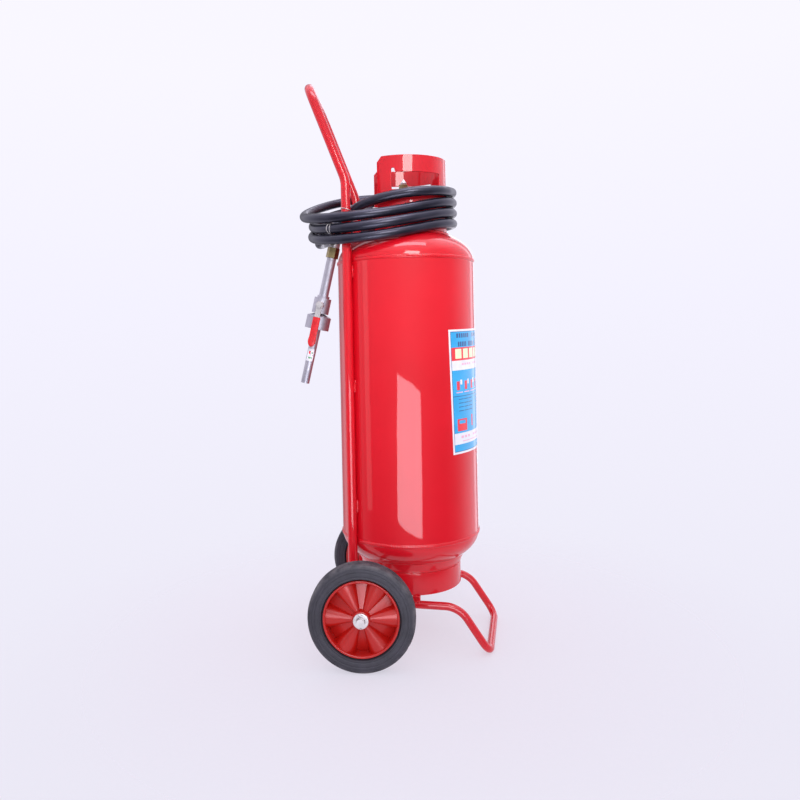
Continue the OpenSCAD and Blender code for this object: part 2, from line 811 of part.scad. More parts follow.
module hose_coil() {
    color(rubber) place() hose(coil_route, coil_dir(coil_from), coil_dir(coil_to), 6);
}

module hose_tail() {
    color(rubber) place() hose(tail_route, gun_dir, coil_dir(coil_from), 8);
}

// Gun, hanging along local -Z below the swivel nut ------------------------------------------------
module on_gun(z) {
    place() translate(gun_at) rotate([0, gun_lean, 0]) translate([0, 0, z]) children();
}

module gun_ferrule() {
    color(zinc) on_gun(0) tube(hose_r + 1.5, hose_r - 4.5, gun_ferrule_h);
}

module gun_nut() {
    color(brass) on_gun(-gun_nut_h) difference() {
        hex(23, gun_nut_h);
        translate([0, 0, -through]) cylinder(r = 8, h = gun_nut_h + 2 * through);
    }
}

module gun_tube() {
    color(alloy) difference() {
        union() {
            on_gun(gun_step_z) cylinder(d = gun_tube_d, h = -gun_step_z - gun_nut_h);
            on_gun(-gun_nut_h) cylinder(r = 8, h = gun_nut_h - 2);
        }
        on_gun(gun_step_z - through) cylinder(r = 6, h = -gun_step_z + through);
    }
}

module gun_body() {
    half = (gun_body_z - gun_body_end) / 2;
    color(alloy) difference() {
        union() {
            on_gun(gun_body_end) cylinder(d = gun_body_d, h = 2 * half);
            on_gun(gun_body_z) cylinder(r = 13, h = gun_step_z - gun_body_z);
            on_gun(gun_ball_z) rotate([90, 0, 0]) cylinder(r = 8, h = -gun_lever_y - 3);
        }
        on_gun(gun_body_end - through) cylinder(r = 7, h = 2 * half + 10);
        on_gun(gun_ball_z) cylinder(r = gun_ball_r + 1, h = 2 * gun_ball_r + 4, center = true);
        on_gun(gun_ball_z) rotate([90, 0, 0]) cylinder(r = 4 + fit, h = -gun_lever_y);
    }
}

module gun_seats() {
    inner = gun_ball_r - 2.5;
    color(ptfe) for (end = [0, 1]) on_gun(gun_ball_z) mirror([0, 0, end])
        translate([0, 0, inner + seat]) tube(gun_ball_r + 1, gun_ball_r - 6, gun_ball_r + 2 - inner - seat);
}

module gun_ball() {
    color(zinc) on_gun(gun_ball_z) difference() {
        sphere(r = gun_ball_r);
        cylinder(r = 5, h = 4 * gun_ball_r, center = true);
        translate([-gun_ball_r, -2 * gun_ball_r - 9, -gun_ball_r]) cube(2 * gun_ball_r);
    }
}

module gun_spindle() {
    color(zinc) on_gun(gun_ball_z) translate([0, -9, 0]) rotate([90, 0, 0])
        cylinder(r = 4, h = -gun_lever_y + gun_lever_t + 2 - 9);
}

// The lever lies along the barrel while the gun is open
module on_gun_lever() {
    on_gun(gun_ball_z) translate([0, gun_lever_y, 0]) rotate([90, 0, 0]) children();
}

module gun_lever() {
    color(zinc) on_gun_lever() difference() {
        union() {
            cylinder(r = 8, h = gun_lever_t);
            translate([-6, 6 - gun_lever_l, 0]) cube([12, gun_lever_l - 6, gun_lever_t]);
        }
        translate([0, 0, -through]) cylinder(r = 4, h = gun_lever_t + 2 * through);
    }
}

module gun_sleeve() {
    wall = 1.2;
    length = gun_lever_l - sleeve_from - 8;
    color(paint_red) on_gun_lever() difference() {
        translate([0, -sleeve_from - length, -wall]) {
            translate([-7, 0, 0]) cube([14, length, gun_lever_t + 2 * wall]);
            cylinder(r = 8, h = gun_lever_t + 2 * wall);
        }
        translate([-6, 6 - gun_lever_l, 0]) cube([12, gun_lever_l - 6, gun_lever_t]);
    }
}

module gun_lever_nut() {
    color(zinc) on_gun_lever() translate([0, 0, gun_lever_t]) difference() {
        hex(12, 5);
        translate([0, 0, -through]) cylinder(r = 4, h = 2 + through);
    }
}

module gun_collar() {
    height = gun_body_end - collar_end;
    hole_ring = (gun_body_d + collar_d) / 4;
    color(alloy) on_gun(collar_end) difference() {
        cylinder(d = collar_d, h = height);
        translate([0, 0, -through]) cylinder(d = barrel_d, h = height + 2 * through);
        for (i = [0 : collar_holes - 1]) rotate([0, 0, 360 * i / collar_holes])
            translate([hole_ring, 0, height - 14]) cylinder(r = 2.6, h = 14 + through);
    }
}

module gun_barrel() {
    color(alloy) on_gun(-gun_l) tube(barrel_d / 2, (barrel_d - barrel_bore) / 2, gun_l + gun_body_end);
}

// Labels ------------------------------------------------------------------------------------------
module wrapped(r, t, half, h) {
    rotate([0, 0, -half]) rotate_extrude(angle = 2 * half) translate([r, 0]) square([t, h]);
}

module main_label() {
    color("#35aee8") place() translate([0, 0, label_z]) wrapped(tank_r, 0.5, label_half, label_h);
}

module lower_label() {
    gap = 13;
    height = 21;
    color("white") place() translate([0, 0, label_z - gap - height]) wrapped(tank_r, 0.5, 12, height);
}

module barrel_label() {
    color("white") on_gun(-245) rotate([0, 0, -90]) wrapped(barrel_d / 2, 0.4, 45, 26);
}

tank_shell();
top_head();
bottom_head();
seam_welds();
neck_boss();
foot_ring();
valve_guard();
uprights();
handle_frame();
frame_welds();
front_leg();
ring_lugs();
axle_brackets();
axle();
axle_spacers();
axle_washers();
split_pins();
tyre(-1);  // near_tyre
wheel_disc(-1);  // near_wheel_disc
hub_bush(-1);  // near_hub_bush
tyre(1);  // far_tyre
wheel_disc(1);  // far_wheel_disc
hub_bush(1);  // far_hub_bush
neck_seal();
valve_body();
valve_bonnet();
valve_seat();
valve_ball();
valve_spindle();
gland_nut();
valve_lever();
lever_grip();
spindle_nut();
dome_nut();
dip_tube();
gauge_case();
gauge_dial();
gauge_needle();
gauge_glass();
coupling_nut();
hose_ferrule();
hose_lead();
hose_coil();
hose_tail();
gun_ferrule();
gun_nut();
gun_tube();
gun_body();
gun_seats();
gun_ball();
gun_spindle();
gun_lever();
gun_sleeve();
gun_lever_nut();
gun_collar();
gun_barrel();
main_label();
lower_label();
barrel_label();
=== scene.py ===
# %% [markdown]
# # A wheeled fire extinguisher, dressed for the studio
# The engineering model gives every rigid shape in its place. This script loads it as a fixed frame and
# builds what the eye looks for on the real thing: rolled and welded steel under stoved enamel, a rubber
# hose wound round the guard, moulded wheels, turned metal and printed film.

# %% Load the frame
import json
import math

import bmesh
import bpy
import numpy as np
from mathutils import Matrix, Vector
from mathutils.geometry import delaunay_2d_cdt


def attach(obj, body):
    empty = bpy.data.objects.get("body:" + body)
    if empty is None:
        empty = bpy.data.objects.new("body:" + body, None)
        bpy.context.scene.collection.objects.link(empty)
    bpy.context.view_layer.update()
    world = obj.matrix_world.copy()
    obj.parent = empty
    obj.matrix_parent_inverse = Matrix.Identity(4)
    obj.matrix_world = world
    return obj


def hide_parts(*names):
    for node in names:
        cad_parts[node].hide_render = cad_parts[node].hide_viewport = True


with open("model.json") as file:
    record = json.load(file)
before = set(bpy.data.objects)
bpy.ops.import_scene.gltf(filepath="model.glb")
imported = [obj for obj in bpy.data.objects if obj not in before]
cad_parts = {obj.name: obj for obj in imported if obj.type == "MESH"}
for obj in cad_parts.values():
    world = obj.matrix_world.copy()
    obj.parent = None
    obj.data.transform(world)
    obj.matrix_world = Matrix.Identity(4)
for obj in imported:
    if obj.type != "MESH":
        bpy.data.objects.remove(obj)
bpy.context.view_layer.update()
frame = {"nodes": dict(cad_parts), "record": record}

# %% [markdown]
# ## Measures
# The drawing is in millimetres and has its origin on the cylinder's own axis. Blender works in metres
# about the middle of the whole object, so one matrix turns the first into the second. Frames for the
# valve, the gun and the wheels start from it, and each piece is drawn in the frame of its own axis.

# %% From the drawing to the scene
MM = 0.001
AXIS_X = 16.3305  # the cylinder's axis, in front of the object's middle
DRAWING = Matrix.Translation((AXIS_X * MM, 0, 0)) @ Matrix.Scale(MM, 4)
TANK_R, TANK_WALL = 150, 3
LOWER_SEAM, UPPER_SEAM, HEAD_H = 228, 815, 75
GUARD_R = 94
HOSE_D = 20.5
VALVE_Z, VALVE_TURN = 925, 198.5  # the turn is that of the valve's outlet, in degrees from straight ahead
GUN_AT, GUN_LEAN = Vector((-148, -84, 843)), 13.4
AXLE_X, AXLE_Z, HALF_TRACK = -93, 106, 195


def turned_by(degrees, axis):
    return Matrix.Rotation(math.radians(degrees), 4, axis)


def moved(x, y, z):
    return Matrix.Translation((x, y, z))


VALVE = DRAWING @ moved(0, 0, VALVE_Z) @ turned_by(VALVE_TURN, "Z")
GUN = DRAWING @ moved(*GUN_AT) @ turned_by(GUN_LEAN, "Y")
WHEEL = {side: DRAWING @ moved(AXLE_X, hand * HALF_TRACK, AXLE_Z) @ turned_by(-90 * hand, "X")
         for side, hand in (("near", -1), ("far", 1))}
print("gun hangs from", [round(v, 3) for v in DRAWING @ GUN_AT])

# %% [markdown]
# ## Camera
# A product shot from 65 centimetres up and a metre and a half away, almost level. The lens is a little wide
# and shifted, which keeps the upright lines of the cylinder upright instead of tilting the camera.

# %% Place the camera
lens = bpy.data.cameras.new("studio_camera")
camera = bpy.data.objects.new("studio_camera", lens)
bpy.context.scene.collection.objects.link(camera)
right, up, back = (0.99648, 0.08117, -0.02080), (0.02101, -0.00180, 0.99978), (0.08111, -0.99670, -0.00350)
stance = Matrix((right, up, back)).transposed().to_4x4()
stance.translation = (0.0504 + AXIS_X * MM, -1.5636, 0.6536)
camera.matrix_world = stance
SHOT, FOCAL, CENTRE_X, CENTRE_Y = 800, 701.82, 372.3, 334.02  # the shot's side and the lens, in pixels
lens.sensor_width = 36
lens.lens = FOCAL / SHOT * lens.sensor_width
lens.shift_x, lens.shift_y = (SHOT / 2 - CENTRE_X) / SHOT, (CENTRE_Y - SHOT / 2) / SHOT
lens.clip_start, lens.clip_end = 0.05, 60
bpy.context.scene.camera = camera
print(f"lens {lens.lens:.1f} mm, shift {lens.shift_x:.3f} {lens.shift_y:.3f}")

# %% [markdown]
# ## Swept tubes
# Hose, handle, leg and wire ties are all one round section carried along a line. The section must not
# twist as the line turns, so each ring's frame is the one before, tilted only as far as the line bends.

# %% Sweep a round section along a line
def smooth_line(points, spacing):
    """A Catmull-Rom line through the points, walked at an even spacing."""
    p = [2 * points[0] - points[1], *points, 2 * points[-1] - points[-2]]
    fine = []
    for a, b, c, d in zip(p, p[1:], p[2:], p[3:]):
        for t in np.linspace(0, 1, 12, endpoint=False):
            fine.append(0.5 * (2 * b + (c - a) * t + (2 * a - 5 * b + 4 * c - d) * t * t
                               + (3 * b - a - 3 * c + d) * t ** 3))
    fine.append(points[-1])
    fine = np.array(fine, float)
    run = np.concatenate([[0], np.cumsum(np.linalg.norm(np.diff(fine, axis=0), axis=1))])
    walk = np.linspace(0, run[-1], max(4, round(run[-1] / spacing)))
    return [Vector([float(np.interp(s, run, fine[:, k])) for k in range(3)]) for s in walk]


def strips(rings, around, closed=False):
    """Quads between each ring of points and the next, and from the last ring to the first if closed."""
    return [(i * around + j, i * around + (j + 1) % around,
             (i + 1) % rings * around + (j + 1) % around, (i + 1) % rings * around + j)
            for i in range(rings if closed else rings - 1) for j in range(around)]


def swept(points, radius, sides):
    """Vertices and faces of a tube. radius is a number, or a function of ring number and angle."""
    count = len(points)
    verts, side = [], None
    for i, p in enumerate(points):
        ahead = (points[min(i + 1, count - 1)] - points[max(i - 1, 0)]).normalized()
        if side is None:
            side = ahead.orthogonal()
        side = (side - side.dot(ahead) * ahead).normalized()
        other = ahead.cross(side)
        for k in range(sides):
            a = 2 * math.pi * k / sides
            r = radius(i, a) if callable(radius) else radius
            verts.append(p + r * (math.cos(a) * side + math.sin(a) * other))
    ends = [tuple(range(sides))[::-1], tuple(range((count - 1) * sides, count * sides))]
    return verts, strips(count, sides) + ends


def as_object(name, mesh, sharp=35, merged=False):
    """An object of a mesh, its faces turned outward and smooth where they meet at less than sharp degrees."""
    work = bmesh.new()
    work.from_mesh(mesh)
    if merged:  # points in one place become one, and triangles in one plane become one face
        bmesh.ops.remove_doubles(work, verts=work.verts, dist=2e-6)
        bmesh.ops.dissolve_limit(work, angle_limit=math.radians(1.5), verts=work.verts, edges=work.edges)
    bmesh.ops.recalc_face_normals(work, faces=work.faces)
    work.to_mesh(mesh)
    work.free()
    mesh.shade_smooth()
    mesh.set_sharp_from_angle(angle=math.radians(sharp))
    made = bpy.data.objects.new(name, mesh)
    bpy.context.scene.collection.objects.link(made)
    return made


def new_piece(name, verts, faces, place=None, sharp=35):
    """An object from vertices and faces, drawn in the frame that place gives."""
    mesh = bpy.data.meshes.new(name)
    mesh.from_pydata([tuple(place @ Vector(v)) if place else tuple(v) for v in verts], [], faces)
    return as_object(name, mesh, sharp)


# %% [markdown]
# ## Hose
# Nearly four metres of smooth rubber discharge hose, wound three and a third times round the guard and
# the uprights. It comes out of the valve's ferrule, drops behind the uprights into the lowest turn, and
# the uppermost turn runs down inside the near upright to the gun.

# %% The turns: egg-shaped loops that drape low in front and ride high behind
FRONT_R = GUARD_R + HOSE_D / 2 + 2.3
TOP_TURN_Z, PITCH = 967, 22.8
TURN_FROM, TURN_TO, RINGS = -0.05, 3.2833333, 24
DRAPE = ((1, 11.3, 33.8), (2, -1.6, -7.7), (3, 1.9, -1.5))  # waves to a turn, with each one's cosine and sine
REAR = ((0.7, 1.3, 2.5), (87, 57, 60.5), (136, 145.8, 144.3))  # the turn, and its rear arc's middle and radius


def drape(a):
    return sum(term for n, c, s in DRAPE for term in (c * (math.cos(n * a) - 1), s * math.sin(n * a)))


def turn_point(t):
    """Where the hose is after t turns: a front arc, a straight side and a rear arc, and back the same way."""
    u = t - math.floor(t)
    behind, rear_r = (float(np.interp(t, REAR[0], row)) for row in REAR[1:])
    beta = math.acos((rear_r - FRONT_R) / behind)
    arc, side = FRONT_R * beta, behind * math.sin(beta)
    s = (u if u < 0.5 else 1 - u) * 2 * (arc + side + rear_r * (math.pi - beta))
    if s < arc:
        x, y = FRONT_R * math.cos(s / FRONT_R), FRONT_R * math.sin(s / FRONT_R)
    elif s < arc + side:
        x = FRONT_R * math.cos(beta) - (s - arc) * math.sin(beta)
        y = FRONT_R * math.sin(beta) + (s - arc) * math.cos(beta)
    else:
        a = beta + (s - arc - side) / rear_r
        x, y = -behind + rear_r * math.cos(a), rear_r * math.sin(a)
    return Vector((x, y if u < 0.5 else -y, TOP_TURN_Z - PITCH * t + drape(2 * math.pi * u)))


def turn_way(t):
    return (turn_point(t + 0.004) - turn_point(t - 0.004)).normalized()


turns = [turn_point(TURN_FROM + i / RINGS) for i in range(round((TURN_TO - TURN_FROM) * RINGS) + 1)]
turns = [turns[0] - HOSE_D * turn_way(TURN_FROM), *turns, turns[-1] + HOSE_D * turn_way(TURN_TO)]
print("turns:", len(turns), "points")

# %% The two free stretches, and the whole route
outlet_way = Vector((math.cos(math.radians(VALVE_TURN)), math.sin(math.radians(VALVE_TURN)), 0))
lead_start = 72 * outlet_way + Vector((0, 0, VALVE_Z))
lead = [lead_start, lead_start + 8 * outlet_way] + [Vector(p) for p in (
    (-92, -31, 923), (-119, -36, 914), (-151, -31, 897), (-178, -10, 881), (-195, 24, 870),
    (-198, 64, 871), (-185, 100, 881), (-162, 124, 896), (-133, 134, 910))]
gun_way = Vector((math.sin(math.radians(GUN_LEAN)), 0, math.cos(math.radians(GUN_LEAN))))
tail_start = GUN_AT + 12 * gun_way
tail = [tail_start, tail_start + 8 * gun_way] + [Vector(p) for p in (
    (-138, -84, 880), (-127, -84, 899), (-111, -87, 916), (-91, -91, 929), (-67, -98, 937),
    (-40, -105, 943), (-8, -109, 948), (24, -108, 952), (54, -97, 955), (75, -81, 958))]
route = smooth_line(lead + turns[::-1] + tail[::-1], 5)
route = [DRAWING @ p for p in route]
hose_length = sum((b - a).length for a, b in zip(route, route[1:]))
print(f"hose {hose_length:.3f} m in {len(route)} rings")

HOSE_R = HOSE_D / 2 * MM
hose = new_piece("discharge_hose", *swept(route, HOSE_R, 32), sharp=60)
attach(hose, "cylinder_and_trolley")
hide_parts("hose_lead", "hose_coil", "hose_tail")
tuple(route[0])
[tuple(p) for p in route]

# %% [markdown]
# ## Finishes
# A finish starts from what the real surface is and how it was made. Colours are written as screen hex
# values and turned to linear light by one function. One small function adds a shader node with its
# settings and links. Almost every real surface drifts between two tones and is finely uneven, so one
# recipe makes that much of each finish from sizes in millimetres, and a finish adds what else it has.

# %% Node and colour helpers
def light(code):
    """Linear colour of an sRGB hex value."""
    parts = [int(code[i:i + 2], 16) / 255 for i in (1, 3, 5)]
    return (*[c / 12.92 if c <= 0.04045 else ((c + 0.055) / 1.055) ** 2.4 for c in parts], 1)


def add(tree, kind, inputs=None, **settings):
    """Adds a node, sets its properties, and fills or links its inputs, by name or number."""
    made = tree.nodes.new("ShaderNode" + kind)
    for name, value in settings.items():
        setattr(made, name, value)
    for name, value in (inputs or {}).items():
        if isinstance(value, bpy.types.NodeSocket):
            tree.links.new(value, made.inputs[name])
        else:
            made.inputs[name].default_value = value
    return made


FINISHES = {}


def new_finish(name, slot_name=None, **shader_values):
    """A material with one Principled shader. Returns its tree, its shader and its object coordinates."""
    made = bpy.data.materials.new(name)
    made.use_nodes = True
    tree = made.node_tree
    shader = tree.nodes["Principled BSDF"]
    for key, value in shader_values.items():
        shader.inputs[key.replace("_", " ")].default_value = value
    FINISHES[slot_name or name] = made
    print("finish:", name)
    return tree, shader, add(tree, "TexCoord").outputs["Object"]


# %% The recipe: two tones, over an uneven surface
def two_toned(name, slot_name, tones, size, between, bumps, gloss=None, pattern=None, **shader_values):
    """A finish that drifts from one tone to another in patches of a size in millimetres.

    between holds the pattern's values where the first tone ends and where the second begins. gloss holds
    two such values and the roughness at each. bumps lie on one another: each has its grain's size in
    millimetres, its detail, its depth in metres and its strength."""
    tree, shader, where = new_finish(name, slot_name, **shader_values)
    pattern = {"Detail": 3.0, **(pattern or {})}
    cloud = add(tree, "TexNoise", {"Vector": where, "Scale": 1000 / size, **pattern}).outputs[0]
    if tones[0] == tones[1]:
        shader.inputs["Base Color"].default_value = light(tones[0])
    else:
        share = add(tree, "MapRange", {0: cloud, 1: between[0], 2: between[1]}).outputs[0]
        tone = add(tree, "Mix", {0: share, 6: light(tones[0]), 7: light(tones[1])}, data_type="RGBA").outputs[2]
        tree.links.new(tone, shader.inputs["Base Color"])
    if gloss:
        sheen = add(tree, "MapRange", {0: cloud, **dict(enumerate(gloss, 1))}).outputs[0]
        tree.links.new(sheen, shader.inputs["Roughness"])
    below = {}
    for grain, detail, depth, strength in bumps:
        fine = add(tree, "TexNoise", {"Vector": where, "Scale": 1000 / grain, "Detail": detail}).outputs[0]
        bump = add(tree, "Bump", {"Height": fine, "Distance": depth, "Strength": strength, **below})
        below = {"Normal": bump.outputs[0]}
    if below:
        tree.links.new(below["Normal"], shader.inputs["Normal"])
    return tree, shader, where, cloud


# %% [markdown]
# ### Gloss red enamel on welded steel
# Two-pack gloss sprayed on and stoved. It mirrors softly because of orange peel, a ripple some two to
# three millimetres across, and the plate under it is never quite true, so long reflections waver.
# Enamel is no metal: its pigment scatters light, under a clear hard skin. So the base is rough, with
# hardly any shine of its own, and the shader's coat over it is nearly a mirror. Its red is deep, because
# pigment and binder absorb nearly all the green and blue.

# %% Enamel
PEEL, PLATE = (2.6, 1.0, 0.00001, 0.3), (77, 1.0, 0.0008, 0.6)
tree, shader, *_ = two_toned(
    "stoved_gloss_enamel", "red_paint", ("#DD0920", "#D5081C"), 167, (0.35, 0.65), (PEEL, PLATE),
    Roughness=0.5, Specular_IOR_Level=0.12, Coat_Weight=0.9, Coat_Roughness=0.035)
tree.links.new(shader.inputs["Normal"].links[0].from_socket, shader.inputs["Coat Normal"])

# %% [markdown]
# ### Zinc plate, brass and aluminium
# Bright zinc on small steel parts is slightly milky and cloudy. Brass hex and round bar keeps fine
# turning lines and dulls in patches. The gun's aluminium is turned and left satin. All are metals, so
# the colour is the reflection's own and the pattern is in the roughness. Turning lines are some tenths
# of a millimetre apart, too fine to show, and are drawn as grain about a millimetre across.

# %% Three metals
for name, slot_name, tones, patch, least, most, grain in (
        ("bright_zinc_plate", "zinc_plate", ("#D8D2D2", "#BCB6B6"), 16.7, 0.42, 0.54, 1.11),
        ("turned_brass", "brass", ("#A8966C", "#7A6D50"), 11.1, 0.3, 0.5, 1.25),
        ("satin_turned_aluminium", "aluminium", ("#C6C2CC", "#AFABB6"), 25, 0.48, 0.56, 0.91)):
    two_toned(name, slot_name, tones, patch, (0.35, 0.7), [(grain, 2.0, 0.00004, 0.5)],
              gloss=(0.3, 0.75, least, most), pattern={"Detail": 4.0, "Roughness": 0.6}, Metallic=1.0)

# %% [markdown]
# ### Rubbers and plastics
# Hose cover and tyres are carbon-black rubber, but worn rubber is grey: it blooms and holds dust. The
# hose is cured in a wrapping of cloth, whose weave of half a millimetre is drawn coarser here. A tyre
# is greyest on its shoulder, where it rubs. The wheel disc is moulded polypropylene, which is glossy
# where the tool was polished.

# %% Hose rubber
two_toned("smooth_hose_rubber", "hose_rubber", ("#12121B", "#1B1B29"), 22.2, (0.35, 0.75),
          [(1.43, 2.0, 0.00003, 0.4)], gloss=(0.3, 0.7, 0.3, 0.35), pattern={"Detail": 5.0, "Roughness": 0.65},
          Specular_IOR_Level=0.8, Specular_Tint=(0.8, 0.77, 1.0, 1.0))

# %% Tyre rubber, with dust in patches from 98.5 mm off the axle outward
tree, shader, where, bloom = two_toned(
    "worn_solid_tyre_rubber", "tyre_rubber", ("#25232C", "#3D3945"), 33.3, (0.3, 0.75),
    [(2, 4.0, 0.0003, 0.5)], pattern={"Detail": 6.0, "Roughness": 0.7}, Roughness=0.7)
to_axle = (-(AXLE_X + AXIS_X) * MM, 0, -AXLE_Z * MM)
off_axle = add(tree, "VectorMath", {0: where, 1: (1, 0, 1), 2: to_axle}, operation="MULTIPLY_ADD").outputs[0]
far_out = add(tree, "VectorMath", {0: off_axle}, operation="LENGTH").outputs["Value"]
shoulder = add(tree, "MapRange", {0: far_out, 1: 98.5 * MM, 2: 104 * MM}).outputs[0]
patches = add(tree, "MapRange", {0: bloom, 1: 0.42, 2: 0.62}).outputs[0]
dusty = add(tree, "Math", {0: shoulder, 1: patches}, operation="MULTIPLY").outputs[0]
rubber = shader.inputs["Base Color"].links[0].from_socket
tone = add(tree, "Mix", {0: dusty, 6: rubber, 7: light("#5E5A5E")}, data_type="RGBA").outputs[2]
tree.links.new(tone, shader.inputs["Base Color"])

# %% Red disc plastic
two_toned("moulded_red_polypropylene", "disc_plastic", ("#C81A14", "#BA140E"), 50, (0.3, 0.7),
          [(1.67, 2.0, 0.00006, 0.5)], pattern={"Detail": 2.0, "Distortion": 0.6}, Roughness=0.3, IOR=1.49)

# %% Small plastics, vinyls and seals
def plain_plastic(name, slot_name, one, two, roughness, size, **values):
    two_toned(name, slot_name, (one, two), size, (0.35, 0.65), [(size, 3.0, 0.0002, 0.3)],
              Roughness=roughness, **values)


plain_plastic("machined_ptfe", "ptfe", "#F2F2EC", "#E4E4DC", 0.4, 16.7)
plain_plastic("nitrile_seal_rubber", "seal_rubber", "#19191B", "#242427", 0.6, 5)
plain_plastic("dipped_black_vinyl", "grip_vinyl", "#1C1C1F", "#27272B", 0.35, 6.67)
plain_plastic("dipped_red_vinyl", "red_vinyl", "#DE1420", "#CC0F1A", 0.3, 8.33)
plain_plastic("printed_dial_enamel", "dial_enamel", "#F1F1EC", "#E6E6E0", 0.3, 12.5)
plain_plastic("dial_green_ink", None, "#2E9A55", "#278C4B", 0.35, 11.1)
plain_plastic("dial_yellow_ink", None, "#F2CF3A", "#E6C12F", 0.35, 11.1)
plain_plastic("black_pointer_paint", "needle_black", "#141416", "#1E1E21", 0.4, 3.33)
plain_plastic("white_label_film", "white_film", "#F1F0F6", "#E6E5EC", 0.25, 25, Coat_Weight=0.4)
plain_plastic("printed_label_film", "label_film", "#35AEE8", "#2DA4DF", 0.25, 25, Coat_Weight=0.4)
plain_plastic("gauge_window_glass", "gauge_glass", "#FFFFFF", "#F4FAFA", 0.02, 50,
              Transmission_Weight=1.0, IOR=1.5)

# %% Give every node of the frame its slot's finish
slot_of = {s["node"]: s["material_slot"] for s in frame["record"]["subparts"]}
for name, node in frame["nodes"].items():
    node.data.materials.clear()
    node.data.materials.append(FINISHES[slot_of[name]])
hose.data.materials.append(FINISHES["hose_rubber"])
print("nodes finished:", len(slot_of))

# %% [markdown]
# ## Helpers for turned, rounded and copied shapes
# Most rigid pieces are turned bar, so an outline spun about an axis makes them. No real edge is sharp: a
# lathe tool leaves a small break and enamel pulls back from corners, so most outlines are eased first,
# which gives each edge the thin bright line it has on the real thing.

# %% Turned and eased outlines
def eased(loop, ease=0.5, steps=3):
    """Rounds the corners of a closed outline by cutting ease off both sides. Corners on the axis stay."""
    out = []
    for i, corner in enumerate(loop):
        p, a, b = Vector(corner), Vector(loop[i - 1]), Vector(loop[(i + 1) % len(loop)])
        if abs(p.x) < 1e-6:
            out.append(p)
            continue
        cut = min(ease, 0.45 * (a - p).length, 0.45 * (b - p).length)
        start, end = p + cut * (a - p).normalized(), p + cut * (b - p).normalized()
        for k in range(steps + 1):
            t = k / steps
            out.append((1 - t) ** 2 * start + 2 * t * (1 - t) * p + t * t * end)
    return out


def turned(loop, steps=96, shape=None):
    """Spins a closed outline of (radius, height) about Z. shape may change a point by its angle."""
    verts = []
    for i in range(steps):
        a = 2 * math.pi * i / steps
        for r, z in loop:
            if shape:
                r, z = shape(r, z, a)
            verts.append((r * math.cos(a), r * math.sin(a), z))
    return verts, strips(steps, len(loop), closed=True)


def joined(*meshes):
    """Several (vertices, faces) as one."""
    verts, faces = [], []
    for v, f in meshes:
        start = len(verts)
        verts += list(v)
        faces += [tuple(start + i for i in face) for face in f]
    return verts, faces


def placed(mesh, matrix):
    return [matrix @ Vector(v) for v in mesh[0]], mesh[1]


def fitted(obj, slot_name, *nodes, body="cylinder_and_trolley"):
    """Gives a new piece the finish of its slot and its body, and hides the frame's nodes that it stands for."""
    obj.data.materials.clear()
    obj.data.materials.append(FINISHES[slot_name])
    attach(obj, body)
    if nodes:
        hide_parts(*nodes)
    print(f"{obj.name}: {len(obj.data.polygons)} faces in {slot_name}")
    return obj


def broken_edges(obj, width, angle=35):
    """Takes the sharpness off an object's edges with a bevel, and keeps the result as plain mesh."""
    bevel = obj.modifiers.new("edges", "BEVEL")
    bevel.width, bevel.segments, bevel.harden_normals = width * MM, 2, True
    bevel.limit_method, bevel.angle_limit = "ANGLE", math.radians(angle)
    bpy.context.view_layer.update()
    mesh = bpy.data.meshes.new_from_object(obj.evaluated_get(bpy.context.evaluated_depsgraph_get()))
    obj.modifiers.clear()
    obj.data = mesh


def dressed(node, width):
    """A copy of one of the frame's nodes with its edges broken, in the node's place."""
    made = as_object(node + "_dressed", frame["nodes"][node].data.copy(), merged=True)
    broken_edges(made, width)
    bodies = frame["record"]["behaviour"]["bodies"]
    return fitted(made, slot_of[node], node, body=next(b for b, names in bodies.items() if node in names))


# %% [markdown]
# ## Cylinder
# The shell is plate rolled into a tube and welded, and the heads are pressed. A lathe outline gives all
# three with enough steps that the long reflections stay clean. The seam beads are laid down in one pass,
# so they show a ripple every few millimetres, and they stop short where an upright stands on the shell.

# %% Shell and heads
def dome(radius, depth, base, sign, inner=0.0, steps=40):
    """Outline points of a half ellipse, from its rim to the radius inner."""
    last = math.acos(inner / radius)
    return [(radius * math.cos(last * i / steps), base + sign * depth * math.sin(last * i / steps))
            for i in range(steps + 1)]


NECK_R, INNER_R = 20, TANK_R - TANK_WALL
ROUND = 192  # steps round the cylinder
shell = new_piece("rolled_shell", *turned(
    [(TANK_R, LOWER_SEAM), (TANK_R, UPPER_SEAM), (INNER_R, UPPER_SEAM), (INNER_R, LOWER_SEAM)], ROUND), DRAWING)
fitted(shell, "red_paint", "tank_shell")
for name, node, seam, way, inner in (("pressed_upper_head", "top_head", UPPER_SEAM, 1, NECK_R),
                                     ("pressed_lower_head", "bottom_head", LOWER_SEAM, -1, 0.0)):
    outline = (dome(TANK_R, HEAD_H, seam, way, inner)
               + dome(INNER_R, HEAD_H - TANK_WALL, seam, way, inner)[::-1])
    fitted(new_piece(name, *turned(outline, ROUND), DRAWING), "red_paint", node)

# %% Seam beads
UPRIGHT_X, UPRIGHT_Y, UPRIGHT_R = -118, 108.085, 10
upright_angle = math.atan2(UPRIGHT_Y, UPRIGHT_X)


def seam_outline(z, width=8.0, proud=1.9, steps=8):
    """A low crowned bead, set a little into the shell."""
    arc = [math.pi * (i / steps - 0.5) for i in range(steps + 1)]
    return ([(TANK_R - 0.2 + (proud + 0.2) * math.cos(a), z + width / 2 * math.sin(a)) for a in arc]
            + [(TANK_R - 1, z + width / 2), (TANK_R - 1, z - width / 2)])


RIPPLES, RIPPLE, FULL_AT = 190, 0.18, 1.6  # how many go round, one's height, and where it is full
GAP_HALF, GAP_END = 2.3, 1.6  # degrees: half the gap at an upright, and the bead's run-out beside it
SUNK = TANK_R - 0.6  # how deep the bead ends in the gap


